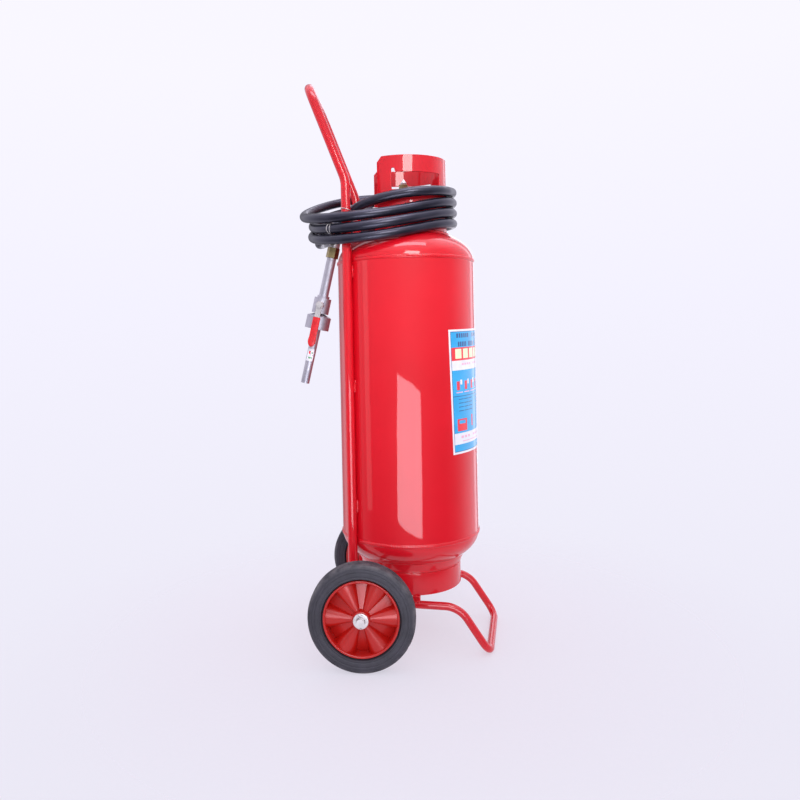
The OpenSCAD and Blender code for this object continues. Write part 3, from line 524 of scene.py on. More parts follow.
def rippled(r, z, a):
    """Ripples the bead's crown, and sinks it into the shell beside both uprights."""
    away = min(abs(math.remainder(a - side * upright_angle, 2 * math.pi)) for side in (1, -1))
    fade = min(1, max(0, (math.degrees(away) - GAP_HALF) / GAP_END))
    ripple = RIPPLE * math.sin(RIPPLES * a) * max(0, (r - TANK_R) / FULL_AT)
    return (SUNK + (r - SUNK + ripple) * fade if r > TANK_R - 0.5 else r), z


seams = joined(*(turned(seam_outline(z), RIPPLES * 6, rippled) for z in (LOWER_SEAM, UPPER_SEAM)))
fitted(new_piece("seam_beads", *seams, DRAWING, sharp=60), "red_paint", "seam_welds")

# %% Foot ring: the ring, the dark gap over it, the thin weld line and the head's slope up from there
ring = [(104.5, 115.5), (108.5, 115.5), (108.5, 159.6), (106.8, 160.4), (106.8, 162.4), (109.4, 162.4),
        (110.6, 164.0), (110.2, 165.6), (118.5, 182.6), (104.5, 178.0)]
fitted(new_piece("rolled_foot_ring", *turned(eased(ring, 0.9), 160), DRAWING), "red_paint", "foot_ring")

# %% [markdown]
# ## Weld beads
# A fillet weld is a row of small overlapping scallops in the corner between two pieces. A tube swept
# along the corner, with a radius that pulses every few millimetres, reads as one under enamel.

# %% Beads in the corners
def bead(points, radius=2.4, pitch=3.2, spacing=0.8):
    """A run of weld scallops, one every pitch, that tapers off at both ends."""
    line = smooth_line([Vector(p) for p in points], spacing)
    last = len(line) - 1

    def scallop(i, a):
        end = min(1, (min(i, last - i) * spacing + 0.6) / (1.4 * radius))
        return radius * math.sqrt(end) * (1 + 0.13 * abs(math.sin(math.pi * i * spacing / pitch)))
    return swept(line, scallop, 10)


def upright_bead(side, hand, z, length=26):
    """A bead along one upright, on one side of the line where it touches the shell."""
    off = 1.4  # the bead's middle stands this far off both surfaces
    near, far, base = TANK_R + off, UPRIGHT_R + off, math.hypot(UPRIGHT_X, UPRIGHT_Y)
    turn = math.acos((near ** 2 + base ** 2 - far ** 2) / (2 * near * base))
    a = side * upright_angle + hand * turn
    return bead([(near * math.cos(a), near * math.sin(a), z + s * length / 4) for s in range(-2, 3)], 1.7)


frame_beads = joined(*(upright_bead(s, h, z) for s in (1, -1) for h in (1, -1) for z in (300, 550, 790)))
fitted(new_piece("upright_weld_beads", *frame_beads, DRAWING, sharp=60), "red_paint", "frame_welds")

# %% [markdown]
# ## Valve guard
# A strip of plate cut with two windows and rolled into three quarters of a ring. It is drawn flat, as
# the plate was, filled with triangles between its outline and its windows, rolled round the cylinder's
# axis, and given its thickness. Its edges are then broken, since they are what catches the light.

# %% Cut a flat plate into triangles
def walked(loop, step):
    """The same outline with no side longer than step."""
    out = []
    for a, b in zip(loop, loop[1:] + loop[:1]):
        parts = max(1, math.ceil((b - a).length / step))
        out += [a.lerp(b, k / parts) for k in range(parts)]
    return out


def cut_plate(outline, holes, step):
    """Triangles of a flat plate, with points every step inside it so that it can be rolled."""
    def inside(p, loop):
        hits = 0
        for a, b in zip(loop, loop[1:] + loop[:1]):
            if (a.y > p.y) != (b.y > p.y) and p.x < a.x + (p.y - a.y) * (b.x - a.x) / (b.y - a.y):
                hits += 1
        return hits % 2 == 1

    points, edges = [], []
    for loop in [outline, *holes]:
        start = len(points)
        points += loop
        edges += [(start + i, start + (i + 1) % len(loop)) for i in range(len(loop))]
    rim = list(points)
    low = Vector((min(p.x for p in outline), min(p.y for p in outline)))
    high = Vector((max(p.x for p in outline), max(p.y for p in outline)))
    for x in np.arange(low.x + step / 2, high.x, step):
        for y in np.arange(low.y + step / 2, high.y, step):
            p = Vector((float(x), float(y)))
            if inside(p, outline) and not any(inside(p, h) for h in holes):
                if min((p - q).length for q in rim) > 0.6 * step:
                    points.append(p)
    flat = delaunay_2d_cdt(points, edges, [], 1, 1e-5)
    faces = [f for f in flat[2]
             if not any(inside(sum((flat[0][i] for i in f), Vector((0, 0))) / 3, h) for h in holes)]
    return flat[0], [tuple(f) for f in faces]


# %% Thicken it while it is rolled
def thickened(points, faces, roll):
    """Closed plate from a flat one. roll(point, depth) puts a point in space, depth 0 or 1."""
    n = len(points)
    verts = [roll(p, depth) for depth in (0, 1) for p in points]
    edges = dict.fromkeys((a, b) for f in faces for a, b in zip(f, f[1:] + f[:1]))
    rims = [(b, a, a + n, b + n) for a, b in edges if (b, a) not in edges]
    return verts, [*faces, *(tuple(i + n for i in f[::-1]) for f in faces), *rims]


# %% The guard's own plate and windows
GUARD_FOOT, GUARD_TOP, GUARD_WALL = 868, 1034, 3
GUARD_TURN, GUARD_HALF = 7, 132  # degrees: where its middle is, and how far it goes either way
CLIMB, CLIMB_FROM, CLIMB_OVER = math.tan(math.radians(2.1)), 890, 60  # the upper edge climbs to the far side
SILL, LINTEL = 962, 998  # the windows' lower and upper edges
end, cut = math.radians(GUARD_HALF) * GUARD_R, 12
plate = [Vector(p) for p in (
    (-end, GUARD_FOOT), (end, GUARD_FOOT), (end, GUARD_TOP - cut), (end - cut, GUARD_TOP),
    (cut - end, GUARD_TOP), (-end, GUARD_TOP - cut))]
near, far = (math.radians(degrees) * GUARD_R for degrees in (41, 111))  # from the front to a window's sides
far_window = eased([(near, SILL), (far, SILL), (far, LINTEL), (near, LINTEL)], 5, 6)
cut_past = [(-far, LINTEL + 9), (-far, SILL), (-near, SILL), (-near, LINTEL),
            (-far + 8.5, LINTEL), (-far + 6.5, LINTEL + 9)]  # the torch ran on at one corner
near_window = eased(cut_past, 2.5, 6)
flat_points, flat_faces = cut_plate(walked(plate, 5), [walked(w, 5) for w in (far_window, near_window)], 6)


def roll_guard(p, depth):
    a, r = p.x / GUARD_R + math.radians(GUARD_TURN), GUARD_R - GUARD_WALL * depth
    climb = (GUARD_R + r * math.sin(p.x / GUARD_R)) * CLIMB * min(1, max(0, (p.y - CLIMB_FROM) / CLIMB_OVER))
    return Vector((r * math.cos(a), r * math.sin(a), p.y + climb))


guard = new_piece("rolled_valve_guard", *thickened(flat_points, flat_faces, roll_guard), DRAWING, sharp=50)
broken_edges(guard, 0.6, 50)
fitted(guard, "red_paint", "valve_guard")


# %% Beads of guard and neck boss on the upper head
def head_bead(ring_r, at_r, above, degrees):
    """A bead on the upper head, round what stands on it with a radius of ring_r."""
    z = UPPER_SEAM + HEAD_H * math.sqrt(1 - (ring_r / TANK_R) ** 2) + above
    return bead([(at_r * math.cos(a), at_r * math.sin(a), z) for a in map(math.radians, degrees)], 2.6)


BOSS_R = 36
guard_ends = GUARD_TURN - GUARD_HALF, GUARD_TURN + GUARD_HALF
guard_bead = head_bead(GUARD_R, GUARD_R + 1, 0.4, range(guard_ends[0], guard_ends[1] + 1, 4))
boss_bead = head_bead(BOSS_R, BOSS_R, 0.6, range(0, 361, 10))
fitted(new_piece("head_weld_beads", *joined(guard_bead, boss_bead), DRAWING, sharp=60), "red_paint")

# %% [markdown]
# ## Bent tubes of the trolley
# The handle is one tube with four bends and the leg is a thinner one. Each centre line is a few corners
# with a bend radius each, as a tube bender would be told, and the section is swept along it.

# %% Bend a line as a tube bender does
def bent_line(corners, radii, degrees=3.0):
    """Points along straight runs and circular bends."""
    corners = [Vector(c) for c in corners]
    line = [corners[0]]
    for a, p, b, r in zip(corners, corners[1:], corners[2:], radii):
        back, on = (a - p).normalized(), (b - p).normalized()
        bend = math.pi - back.angle(on)
        trim = r * math.tan(bend / 2)
        middle = p + (back + on).normalized() * (r / math.cos(bend / 2))
        start, end = p + trim * back - middle, p + trim * on - middle
        steps = max(4, round(math.degrees(bend) / degrees))
        for k in range(steps + 1):
            t = k / steps
            line.append(middle + (start * math.sin((1 - t) * bend) + end * math.sin(t * bend)) / math.sin(bend))
    return line + [corners[-1]]


# %% Handle: up one upright, leaning back to the bar, and down the other
FOOT_Z, BEND_Z, BAR_Z, LEAN = 132, 981, 1190, 20.6
BAR_X = UPRIGHT_X - (BAR_Z - BEND_Z) * math.tan(math.radians(LEAN))
one_side = [(UPRIGHT_X, UPRIGHT_Y, FOOT_Z), (UPRIGHT_X, UPRIGHT_Y, BEND_Z), (BAR_X, UPRIGHT_Y, BAR_Z)]
handle_line = bent_line([*one_side, *((x, -y, z) for x, y, z in one_side[::-1])], (70, 50, 50, 70))
handle = new_piece("bent_handle_tube", *swept(handle_line, UPRIGHT_R, 32), DRAWING)
fitted(handle, "red_paint", "handle_frame", "uprights")

# %% Leg: forward from one bracket, down to the toe bar, and back to the other
LEG_TURN, LEG_HALF, LEG_R = turned_by(-7.8, "Z"), 104, 8
BRACKET_FRONT, KNEE_Z, TOE_X, SLANT = -76, 97, 174.6, 56
knee_x = TOE_X - (KNEE_Z - LEG_R) / math.tan(math.radians(SLANT))


def arm_start(side):
    """Where an arm of the turned leg meets its bracket, in the leg's own frame."""
    return ((BRACKET_FRONT - 1 - side * LEG_HALF * LEG_TURN[0][1]) / LEG_TURN[0][0], side * LEG_HALF, KNEE_Z)


leg_line = bent_line([
    arm_start(1), (knee_x, LEG_HALF, KNEE_Z), (TOE_X, LEG_HALF, LEG_R),
    (TOE_X, -LEG_HALF, LEG_R), (knee_x, -LEG_HALF, KNEE_Z), arm_start(-1)], (54, 26, 26, 54))
fitted(new_piece("bent_leg_tube", *swept(leg_line, LEG_R, 32), DRAWING @ LEG_TURN), "red_paint", "front_leg")

# %% Lugs, brackets and spacers, with beads where they are welded on
for node, width in (("ring_lugs", 1.2), ("axle_brackets", 1.2), ("axle_spacers", 0.5), ("neck_boss", 1.0)):
    dressed(node, width)
OFF = 4.6  # a bead's middle from the middle of the plate that it holds
LUG_FOOT, LUG_TOP, BRACKET_Y = 104.6, 115.1, (111.7, -101.3)
lug_beads = [placed(bead([(x, side * LEG_HALF + hand * OFF, z) for x in (20, 24, 30, 34)], 1.7, 2.6), LEG_TURN)
             for side in (1, -1) for hand in (1, -1) for z in (LUG_FOOT, LUG_TOP)]
bracket_beads = [bead([(UPRIGHT_X + 10.4, plate_y + hand * OFF, z) for z in (133, 126, 120, 114)], 1.8, 2.8)
                 for plate_y in BRACKET_Y for hand in (1, -1)]
fitted(new_piece("trolley_weld_beads", *joined(*lug_beads, *bracket_beads), DRAWING, sharp=60), "red_paint")

# %% [markdown]
# ## Wheels
# A solid rubber tyre sits on a moulded disc. The disc's outer face is corrugated: six ribs spread out from
# the hub, each half a cone, with flat pockets between them, and a thin lip stands round the rim. One
# height for each radius and angle draws all of that, as a tool maker's drawing would.

# %% The disc's face as a height
LIP_R, RIM_R, HUB_R, CONES = 75.0, 70.7, 16.5, 6
RIB_HALF, CREST = 0.33, 15  # a rib's half width to its distance from the axle, and its crest's height


def face_height(r, a):
    """Height of the disc's outer face above its middle: each rib is half a cone with its point at the hub."""
    wide = RIB_HALF * r
    across = r * math.sin(math.remainder(a, 2 * math.pi / CONES))
    return CREST - wide + math.sqrt(max(0.0, wide ** 2 - across ** 2))


def corrugated(thickness, radial=26, around=432):
    verts, faces = [], []
    for side in (0, 1):
        for i in range(radial + 1):
            r = HUB_R + (RIM_R - HUB_R) * i / radial
            for k in range(around):
                a = 2 * math.pi * k / around
                verts.append((r * math.cos(a), r * math.sin(a), face_height(r, a) - side * thickness))
    layer = (radial + 1) * around
    for a, b, c, d in strips(radial + 1, around):
        faces += [(a, b, c, d), (a + layer, d + layer, c + layer, b + layer)]
    for k in range(around):
        j, out = (k + 1) % around, radial * around
        faces += [(k, k + layer, j + layer, j), (out + k, out + j, out + j + layer, out + k + layer)]
    return verts, faces


# %% Discs: the corrugated wall, the rim round it and the hub through it
rim = eased([(70, -18), (LIP_R, -18), (LIP_R, 18), (71.6, 18), (70, 15.5)], 0.8)
hub = eased([(12.05, -30), (20, -30), (20, -6), (17.4, 21), (16.6, 22), (12.05, 22)], 0.9)
disc = joined(corrugated(3.6), turned(rim, 192), turned(hub, 96))
for side in WHEEL:
    piece = new_piece(side + "_moulded_disc", *disc, WHEEL[side], sharp=50)
    fitted(piece, "disc_plastic", side + "_wheel_disc", body=side + "_wheel")

# %% [markdown]
# A solid tyre is plain, but it isn't featureless: a groove runs beside the rim, moulding lines go round
# the side wall, the tread has two shallow grooves, and use leaves nicks and a scuffed shoulder. All but
# the nicks are the same the whole way round, so an outline is turned, and a function dents it.

# %% Tyres
half_tyre = [(LIP_R, 11), (77.2, 11.5), (78.4, 18.6), (79.2, 20), (80.6, 20), (81.6, 19.1), (83.4, 19.1),
             (84.4, 19.7), (90.5, 19.9), (91.1, 19.3), (91.9, 19.3), (92.5, 19.9), (96.0, 19.7), (96.5, 19.1),
             (97.3, 19.0), (98.2, 19.3), (101.0, 18.1), (101.4, 17.3), (102.4, 16.7), (104.1, 15.2),
             (105.4, 12.8), (106, 10), (106, 6.4), (105.2, 5.9), (105.2, 4.9), (106, 4.4)]
tyre_outline = eased(half_tyre + [(r, -z) for r, z in reversed(half_tyre)], 0.35, 2)
# a nick's place, round the wheel in radians and out from the axle, and then its depth and its width
NICKS = [(3.62, 100, 2.2, 3.0), (0.62, 97, 1.6, 2.2), (2.05, 95, 1.5, 2.2), (4.98, 99, 1.8, 2.6),
         (5.75, 104, 1.8, 3.0), (1.2, 104, 1.4, 2.4)]


def nicked(r, z, a, shoulder=103):
    """Takes nicks out, mostly sideways inside the shoulder and mostly inward beyond it."""
    for where, at_r, deep, wide in NICKS:
        near = ((a - where) * r / wide) ** 2 + ((r - at_r) / wide) ** 2
        if near < 9:
            pit = deep * math.exp(-near)
            z -= math.copysign(pit, z) * (0.6 if r < shoulder else 0.2)
            r -= pit * (0.5 if r > shoulder else 0)
    return r, z


for side in WHEEL:
    piece = new_piece(side + "_solid_tyre", *turned(tyre_outline, 288, nicked), WHEEL[side], sharp=70)
    fitted(piece, "tyre_rubber", side + "_tyre", body=side + "_wheel")

# %% Axle, washers and split pins
dressed("axle", 0.9)
WASHER_AT, PIN_AT = 22.3, 30.3  # out from the wheel's middle
washer = eased([(8.2, 0), (15, 0), (15, 3), (8.2, 3)], 0.6)
pin = [(1.0, -11.5, 3.0), (1.0, -10.6, 1.2), (1.0, -8.8, 0), (1.0, 0, 0), (1.0, 8.2, 0), (2.4, 9.6, 0),
       (2.8, 11.4, 0), (0, 13.4, 0), (-2.8, 11.4, 0), (-2.4, 9.6, 0), (-1.0, 8.2, 0), (-1.0, 0, 0),
       (-1.0, -8.8, 0), (-2.8, -10.8, 0), (-4.6, -11.4, 0)]
pin_wire = swept(smooth_line([Vector(p) for p in pin], 1.0), 0.95, 10)
washers = joined(*(placed(turned(washer, 64), place @ moved(0, 0, WASHER_AT)) for place in WHEEL.values()))
pins = joined(*(placed(pin_wire, place @ moved(0, 0, PIN_AT)) for place in WHEEL.values()))
fitted(new_piece("plated_washers", *washers), "zinc_plate", "axle_washers")
fitted(new_piece("split_pin_wires", *pins), "zinc_plate", "split_pins")

# %% [markdown]
# ## Valve group
# A brass ball valve with a hexagon bonnet, gland and nuts. Their shapes are already right in the frame,
# so each is copied with its edges broken, which is how forged and turned brass leaves the machine.

# %% Valve pieces, and how much is taken off their edges
for node, width in (("valve_body", 0.8), ("valve_bonnet", 0.8), ("gland_nut", 0.6), ("valve_lever", 0.8),
                    ("spindle_nut", 0.6), ("dome_nut", 0.5), ("coupling_nut", 0.7), ("gauge_case", 0.5),
                    ("lever_grip", 1.2), ("valve_spindle", 0.5)):
    dressed(node, width)


# %% Crimped ferrule
def crimped(inner, outer, length, crimps, depth=0.7, plain=2, steps=60):
    """Outline of a ferrule pressed on to the hose: a row of shallow rings between two plain ends."""
    top = []
    for i in range(steps + 1):
        z = length * i / steps
        wave = 0.5 - 0.5 * math.cos(2 * math.pi * crimps * (z - plain) / (length - 2 * plain))
        top.append((outer - (depth * wave if plain < z < length - plain else 0), z))
    return [(inner, 0)] + top + [(inner, length)]


along_outlet = VALVE @ moved(54, 0, 0) @ turned_by(90, "Y")
ferrule = new_piece("crimped_hose_ferrule", *turned(crimped(6.3, 13.25, 18, 4), 64), along_outlet, sharp=50)
fitted(ferrule, "zinc_plate", "hose_ferrule")

# %% [markdown]
# The gauge's dial is enamelled and then printed with three pressure zones and eleven strokes, outside the
# needle's tip. Thin flat sectors end on a real edge, which a painted texture would blur at this size.

# %% Gauge dial
DIAL = VALVE @ moved(-45, 0, 7) @ turned_by(-90, "Y") @ turned_by(-90, "Z")


def dial_sector(start, end, inner, outer, thick=0.2):
    """A flat piece of ring on the dial. Angles run clockwise from the top, in degrees."""
    steps = max(1, math.ceil((end - start) / 4))
    turns = [math.radians(start + (end - start) * k / steps) for k in range(steps + 1)]
    edge = [(inner * math.sin(a), inner * math.cos(a)) for a in turns]
    edge += [(outer * math.sin(a), outer * math.cos(a)) for a in turns[::-1]]
    count = len(edge)
    verts = [(x, y, z) for z in (0, thick) for x, y in edge]
    quads = [(k, k + 1, count - 2 - k, count - 1 - k) for k in range(steps)]
    faces = [q[::-1] for q in quads] + [tuple(i + count for i in q) for q in quads]
    return verts, faces + [(k, (k + 1) % count, (k + 1) % count + count, k + count) for k in range(count)]


strokes = [(27 * k - 135.8, 27 * k - 134.2) for k in range(11)]
ZONE, STROKE = (15.2, 17.4), (13.9, 15.0)  # inner and outer radius
for zone, ink, sectors, (inner, outer) in (
        ("low", "red_vinyl", [(-135, -60)], ZONE), ("ready", "dial_green_ink", [(-60, 60)], ZONE),
        ("high", "dial_yellow_ink", [(60, 135)], ZONE), ("strokes", "needle_black", strokes, STROKE)):
    flat = joined(*(dial_sector(start, end, inner, outer) for start, end in sectors))
    marks = fitted(new_piece("gauge_marks_" + zone, *flat, DIAL), "dial_enamel")
    marks.data.materials[0] = FINISHES[ink]

# %% [markdown]
# The turns are held with ends of plated wire. One is twisted round the near upright, and two cross over
# the second turn. Each is the tube sweep again, along a circle that lies across what it holds.

# %% Wire ties
def wire_loop(middle, way, radius, wire=0.9, tail=0.0):
    """A loop of wire about the direction way, with its twisted ends standing out by tail."""
    one = way.orthogonal().normalized()
    other = way.cross(one)
    line = [middle + radius * (math.cos(a) * one + math.sin(a) * other)
            for a in np.linspace(0, 2 * math.pi, 41)]
    if tail:
        line += [middle + (radius + tail * k / 3) * one + way * (1.2 * (-1) ** k) for k in (1, 2, 3)]
    return swept(line, wire, 8)


TIE_TURN, TIE_Z = 1.64, 919
hose_way = turn_way(TIE_TURN)
upright_way = Vector((0.3, 0.1, 1)).normalized()
ties = [wire_loop(Vector((UPRIGHT_X, -UPRIGHT_Y, TIE_Z)), upright_way, UPRIGHT_R + 0.7, tail=4)]
for lean in (-0.45, 0.45):
    leaning = (hose_way + lean * hose_way.cross(Vector((0, 0, 1)))).normalized()
    ties.append(wire_loop(turn_point(TIE_TURN), leaning, HOSE_D / 2 + 1.0))
fitted(new_piece("wire_ties", *joined(*ties), DRAWING), "zinc_plate")

# %% [markdown]
# ## Discharge gun
# Satin aluminium: an inlet tube, a small ball valve with a plate lever, a collar drilled with air holes
# and a straight barrel. The lever's end is dipped in red vinyl, which sags into a soft rounded sleeve.

# %% Turned gun pieces
gun_ferrule = new_piece("crimped_gun_ferrule", *turned(crimped(5.8, 11.75, 12, 3, 0.5), 64), GUN, sharp=50)
fitted(gun_ferrule, "zinc_plate", "gun_ferrule")
tube_outline = eased([(6, -104), (10, -104), (10, -28), (9.6, -27.6), (9.6, -26.4), (10, -26), (10, -22),
                      (8, -22), (8, -2), (6, -2)], 0.4)
fitted(new_piece("gun_inlet_tube", *turned(tube_outline, 64), GUN), "aluminium", "gun_tube")
barrel_outline = eased([(6.5, -293), (9, -293), (9, -290.5), (8.8, -290), (8.8, -289.2), (9, -288.6), (9, -142),
                        (6.5, -142)], 0.35)
fitted(new_piece("gun_straight_barrel", *turned(barrel_outline, 64), GUN), "aluminium", "gun_barrel")
for node, width in (("gun_nut", 0.7), ("gun_body", 0.9), ("gun_collar", 0.6), ("gun_lever", 0.5),
                    ("gun_lever_nut", 0.5), ("gun_spindle", 0.4)):
    dressed(node, width)

# %% The collar's drilled face slopes down outward from the tube
FACE_DEPTH, INNER_EDGE, SLOPE = 2.0, 10, 0.42
collar = bpy.data.objects["gun_collar_dressed"]
to_gun = GUN.inverted() @ collar.matrix_world
collar_top = max((to_gun @ v.co).z for v in collar.data.vertices)
for v in collar.data.vertices:
    p = to_gun @ v.co
    if p.z > collar_top - FACE_DEPTH:
        p.z -= max(0.0, math.hypot(p.x, p.y) - INNER_EDGE) * SLOPE
        v.co = to_gun.inverted() @ p
print("collar top", round(collar_top, 1))

# %% Red vinyl sleeve: a soft flattened tube with a bulb at its end
GUN_LEVER = GUN @ moved(0, -27.2, -125) @ turned_by(90, "X")
SQUARENESS = 0.55  # below 1 the sleeve's section is a rounded rectangle
TIP_FROM, TIP = 0.86, 7.5  # the tip's start along the sleeve, and how much longer it makes it


def sleeve_mesh(start=26.0, length=56.0, rings=48, sides=40):
    verts = []
    for i in range(rings + 1):
        u = i / rings
        tip = max(0, u - TIP_FROM) / (1 - TIP_FROM)
        y = -start - length * u - TIP * tip
        bulb = math.exp(-((u - 0.9) / 0.09) ** 2)
        end = math.sqrt(max(0.0, 1 - tip ** 2))
        wide, thick = (7.6 + 1.0 * bulb) * end, (2.9 + 0.5 * bulb) * (0.25 + 0.75 * end)
        for k in range(sides):
            c, s = math.cos(2 * math.pi * k / sides), math.sin(2 * math.pi * k / sides)
            verts.append((wide * math.copysign(abs(c) ** SQUARENESS, c), y,
                          1.5 + thick * math.copysign(abs(s) ** SQUARENESS, s)))
    ends = [tuple(range(sides)), tuple(range(rings * sides, (rings + 1) * sides))[::-1]]
    return verts, strips(rings + 1, sides) + ends


sleeve = new_piece("dipped_lever_sleeve", *sleeve_mesh(), GUN_LEVER, sharp=60)
fitted(sleeve, "red_vinyl", "gun_sleeve", body="gun_valve")

# %% [markdown]
# ## Printed films
# The labels are self-adhesive film. Each is a thin sheet bent round its cylinder and divided into cells
# along the edges of its printed fields, so every colour ends on a real edge at any distance. The print is
# a plain scheme of bands, blocks and rules. The main label was put on by hand, a degree and a half off.

# %% Inks
INKS = {"white": FINISHES["white_film"], "blue": FINISHES["label_film"]}
for name, tone in (("navy", "#2A4C86"), ("red", "#EE3A45"), ("cream", "#E9F6C9"), ("pink", "#EBB4CC"),
                   ("green", "#7DB08A")):
    plain_plastic("ink_" + name, None, tone, tone, 0.25, 16.7, Coat_Weight=0.3)
    INKS[name] = FINISHES["ink_" + name]


# %% Divide, print and bend a sheet
def printed_sheet(name, node, width, height, fields, bend, cell, place):
    """fields are (ink, left, bottom, right, top) from the sheet's middle. bend(x, y, depth) is a point."""
    inks = list(dict.fromkeys(["white"] + [f[0] for f in fields]))
    cuts = []
    for half, low, high in ((width / 2, 1, 3), (height / 2, 2, 4)):
        marks = {-half, half, *(f[low] for f in fields), *(f[high] for f in fields)}
        marks |= set(np.linspace(-half, half, math.ceil(2 * half / cell) + 1))
        kept = []
        for mark in sorted(m for m in marks if -half <= m <= half):
            if not kept or mark - kept[-1] > 0.02:
                kept.append(mark)
        cuts.append(kept)
    xs, ys = cuts
    across, layer = len(xs), len(xs) * len(ys)
    verts = [bend(x, y, depth) for depth in (0, 1) for y in ys for x in xs]
    faces, ink_of = [], []
    for j in range(len(ys) - 1):
        for i in range(across - 1):
            x, y = (xs[i] + xs[i + 1]) / 2, (ys[j] + ys[j + 1]) / 2
            ink = "white"
            for field, left, bottom, right, top in fields:
                if left < x < right and bottom < y < top:
                    ink = field
            a = j * across + i
            quad = (a, a + 1, a + 1 + across, a + across)
            faces += [quad, tuple(k + layer for k in quad[::-1])]
            ink_of += [inks.index(ink), 0]
    rim = [*range(across), *(j * across + across - 1 for j in range(1, len(ys))),
           *(layer - 1 - i for i in range(1, across)), *(j * across for j in range(len(ys) - 2, 0, -1))]
    for a, b in zip(rim, rim[1:] + rim[:1]):
        faces.append((b, a, a + layer, b + layer))
        ink_of.append(0)
    sheet = fitted(new_piece(name, verts, faces, place), "white_film", node)
    for ink in inks[1:]:
        sheet.data.materials.append(INKS[ink])
    sheet.data.polygons.foreach_set("material_index", ink_of)
    return sheet


# %% Main label
LABEL_W, LABEL_H, LABEL_Z, LABEL_SKEW = 266, 257, 539, math.radians(1.5)
FRAME, BORDER = 4.2, 5.4  # from the label's edge to its thin frame's outside and inside


def on_shell(middle, skew=0.0, shift=0.0):
    """Bends a sheet round the shell, its middle at a height. It is turned by skew and moved on by shift."""
    def bend(x, y, depth):
        u = x * math.cos(skew) - y * math.sin(skew) + shift
        v = x * math.sin(skew) + y * math.cos(skew)
        r = TANK_R + 0.45 - 0.6 * depth
        return (r * math.cos(u / TANK_R), r * math.sin(u / TANK_R), middle + v)
    return bend


def row(ink, left, right, bottom, top, pitch, gap, lost=()):
    """A row of equal blocks, with some left out."""
    count = int((right - left) / pitch)
    return [(ink, left + i * pitch, bottom, left + (i + 1) * pitch - gap, top)
            for i in range(count) if i not in lost]


def band(ink, bottom, top):
    """A field from border to border."""
    return [(ink, BORDER - LABEL_W / 2, bottom, LABEL_W / 2 - BORDER, top)]


e, h = LABEL_W / 2, LABEL_H / 2
fields = [("navy", FRAME - e, FRAME - h, e - FRAME, h - FRAME)] + band("blue", BORDER - h, h - BORDER)
fields += row("navy", -112, 40, 111, 120, 7.6, 2.4, (6, 7, 12))
fields += row("navy", -108, 30, 93, 103, 6.2, 1.8, (5, 11, 12))
fields += band("red", 64, 91) + row("cream", -117, 118, 68, 88, 25.0, 6.0)
fields += band("white", 44, 64) + row("pink", -98, 96, 54, 58, 9.5, 2.5, (4, 9, 14))
fields += row("red", -116, 112, 3, 21, 26.0, 17.0) + row("white", -105, 112, 14, 24, 26.0, 20.0)
fields += row("pink", -118, 116, -3, -1, 26.0, 6.0) + band("navy", -10.5, -9.3)
for k, y in enumerate((-17, -25, -33, -41)):
    fields += row("navy", -112, -56, y, y + 1.5, 18.0, 2.0)
    fields += row("navy", -40 + 3 * k, 112, y, y + 1.5, 24.0, 2.5)
fields += [("red", -118, -82, -86, -57), ("blue", -112, -67, -92, -60), ("red", -66, -76, -60, -52)]
fields += [("red", 70, -82, 102, -57), ("blue", 76, -67, 96, -60)]
fields += band("white", -109, -86) + row("pink", -108, 108, -97, -92, 12.0, 4.0, (3, 8, 13))
fields += row("pink", -104, 100, -104.5, -102.5, 30.0, 3.0)
main_label = printed_sheet("main_printed_label", "main_label", LABEL_W, LABEL_H, fields,
                           on_shell(LABEL_Z, LABEL_SKEW, -4), 7.0, DRAWING)

# %% Lower label and barrel sticker
LOWER_Z, STICKER_Z, BARREL_R = 386, -232, 9


def on_barrel(x, y, depth):
    r = BARREL_R + 0.35 - 0.5 * depth
    return (r * math.sin(x / BARREL_R), -r * math.cos(x / BARREL_R), STICKER_Z + y)


fields = [("pink", -26, 4, 26, 5.2), ("pink", -26, -1, 12, 0.2), ("pink", -26, -6, 18, -4.8)]
printed_sheet("lower_printed_label", "lower_label", 62, 21, fields, on_shell(LOWER_Z), 7.0, DRAWING)
fields = [("green", -4, -8, 4, -4), ("red", -4.5, 2, -0.5, 8), ("green", 1, 3, 4, 7)]
printed_sheet("barrel_sticker", "barrel_label", 14, 26, fields, on_barrel, 1.2, GUN)

# %% [markdown]
# ## Studio
# A disc of backlit acrylic in an even white room. Lit from below it takes hardly any shadow, and it fades
# out towards its edge into the room. Gloss needs more than that: in an all-white room enamel turns pink,
# so a studio hangs dark flags round the camera. So the room has a second brightness for glossy rays. It
# is dark ahead and low down and rises to an even grey above, each bearing has its own share, with a
# bright narrow window in one wall, and a pale ceiling lies over it. Four panels that only mirror-like
# surfaces see lay the long highlights on enamel and rubber, and one gridded box lifts matt colours.

# %% Room light
world = bpy.data.worlds.new("white_room")
bpy.context.scene.world = world
world.use_nodes = True
tree, backdrop = world.node_tree, world.node_tree.nodes["Background"]
way = add(tree, "SeparateXYZ", {0: add(tree, "TexCoord").outputs["Generated"]})
across, deep, high = way.outputs
room = add(tree, "MapRange", {0: high, 1: -0.45, 2: 0.35, 3: 0.925, 4: 1.05})
ahead = add(tree, "Math", {0: deep, 1: -1.0}, operation="MULTIPLY").outputs[0]
bearing = add(tree, "Math", {0: across, 1: ahead}, operation="ARCTAN2").outputs[0]  # 0 is ahead, -y
turned_away = add(tree, "Math", {0: bearing}, operation="ABSOLUTE").outputs[0]
aside = add(tree, "MapRange", {0: turned_away, 1: 1.1, 2: 1.9, 3: 0.06, 4: 0.85}).outputs[0]
height = add(tree, "MapRange", {0: high, 1: -0.3, 2: 0.3, 3: aside, 4: 0.95}, interpolation_type="SMOOTHSTEP")
ceiling = add(tree, "MapRange", {0: high, 1: 0.6, 2: 0.85, 3: 0.0, 4: 0.8}, interpolation_type="SMOOTHSTEP")

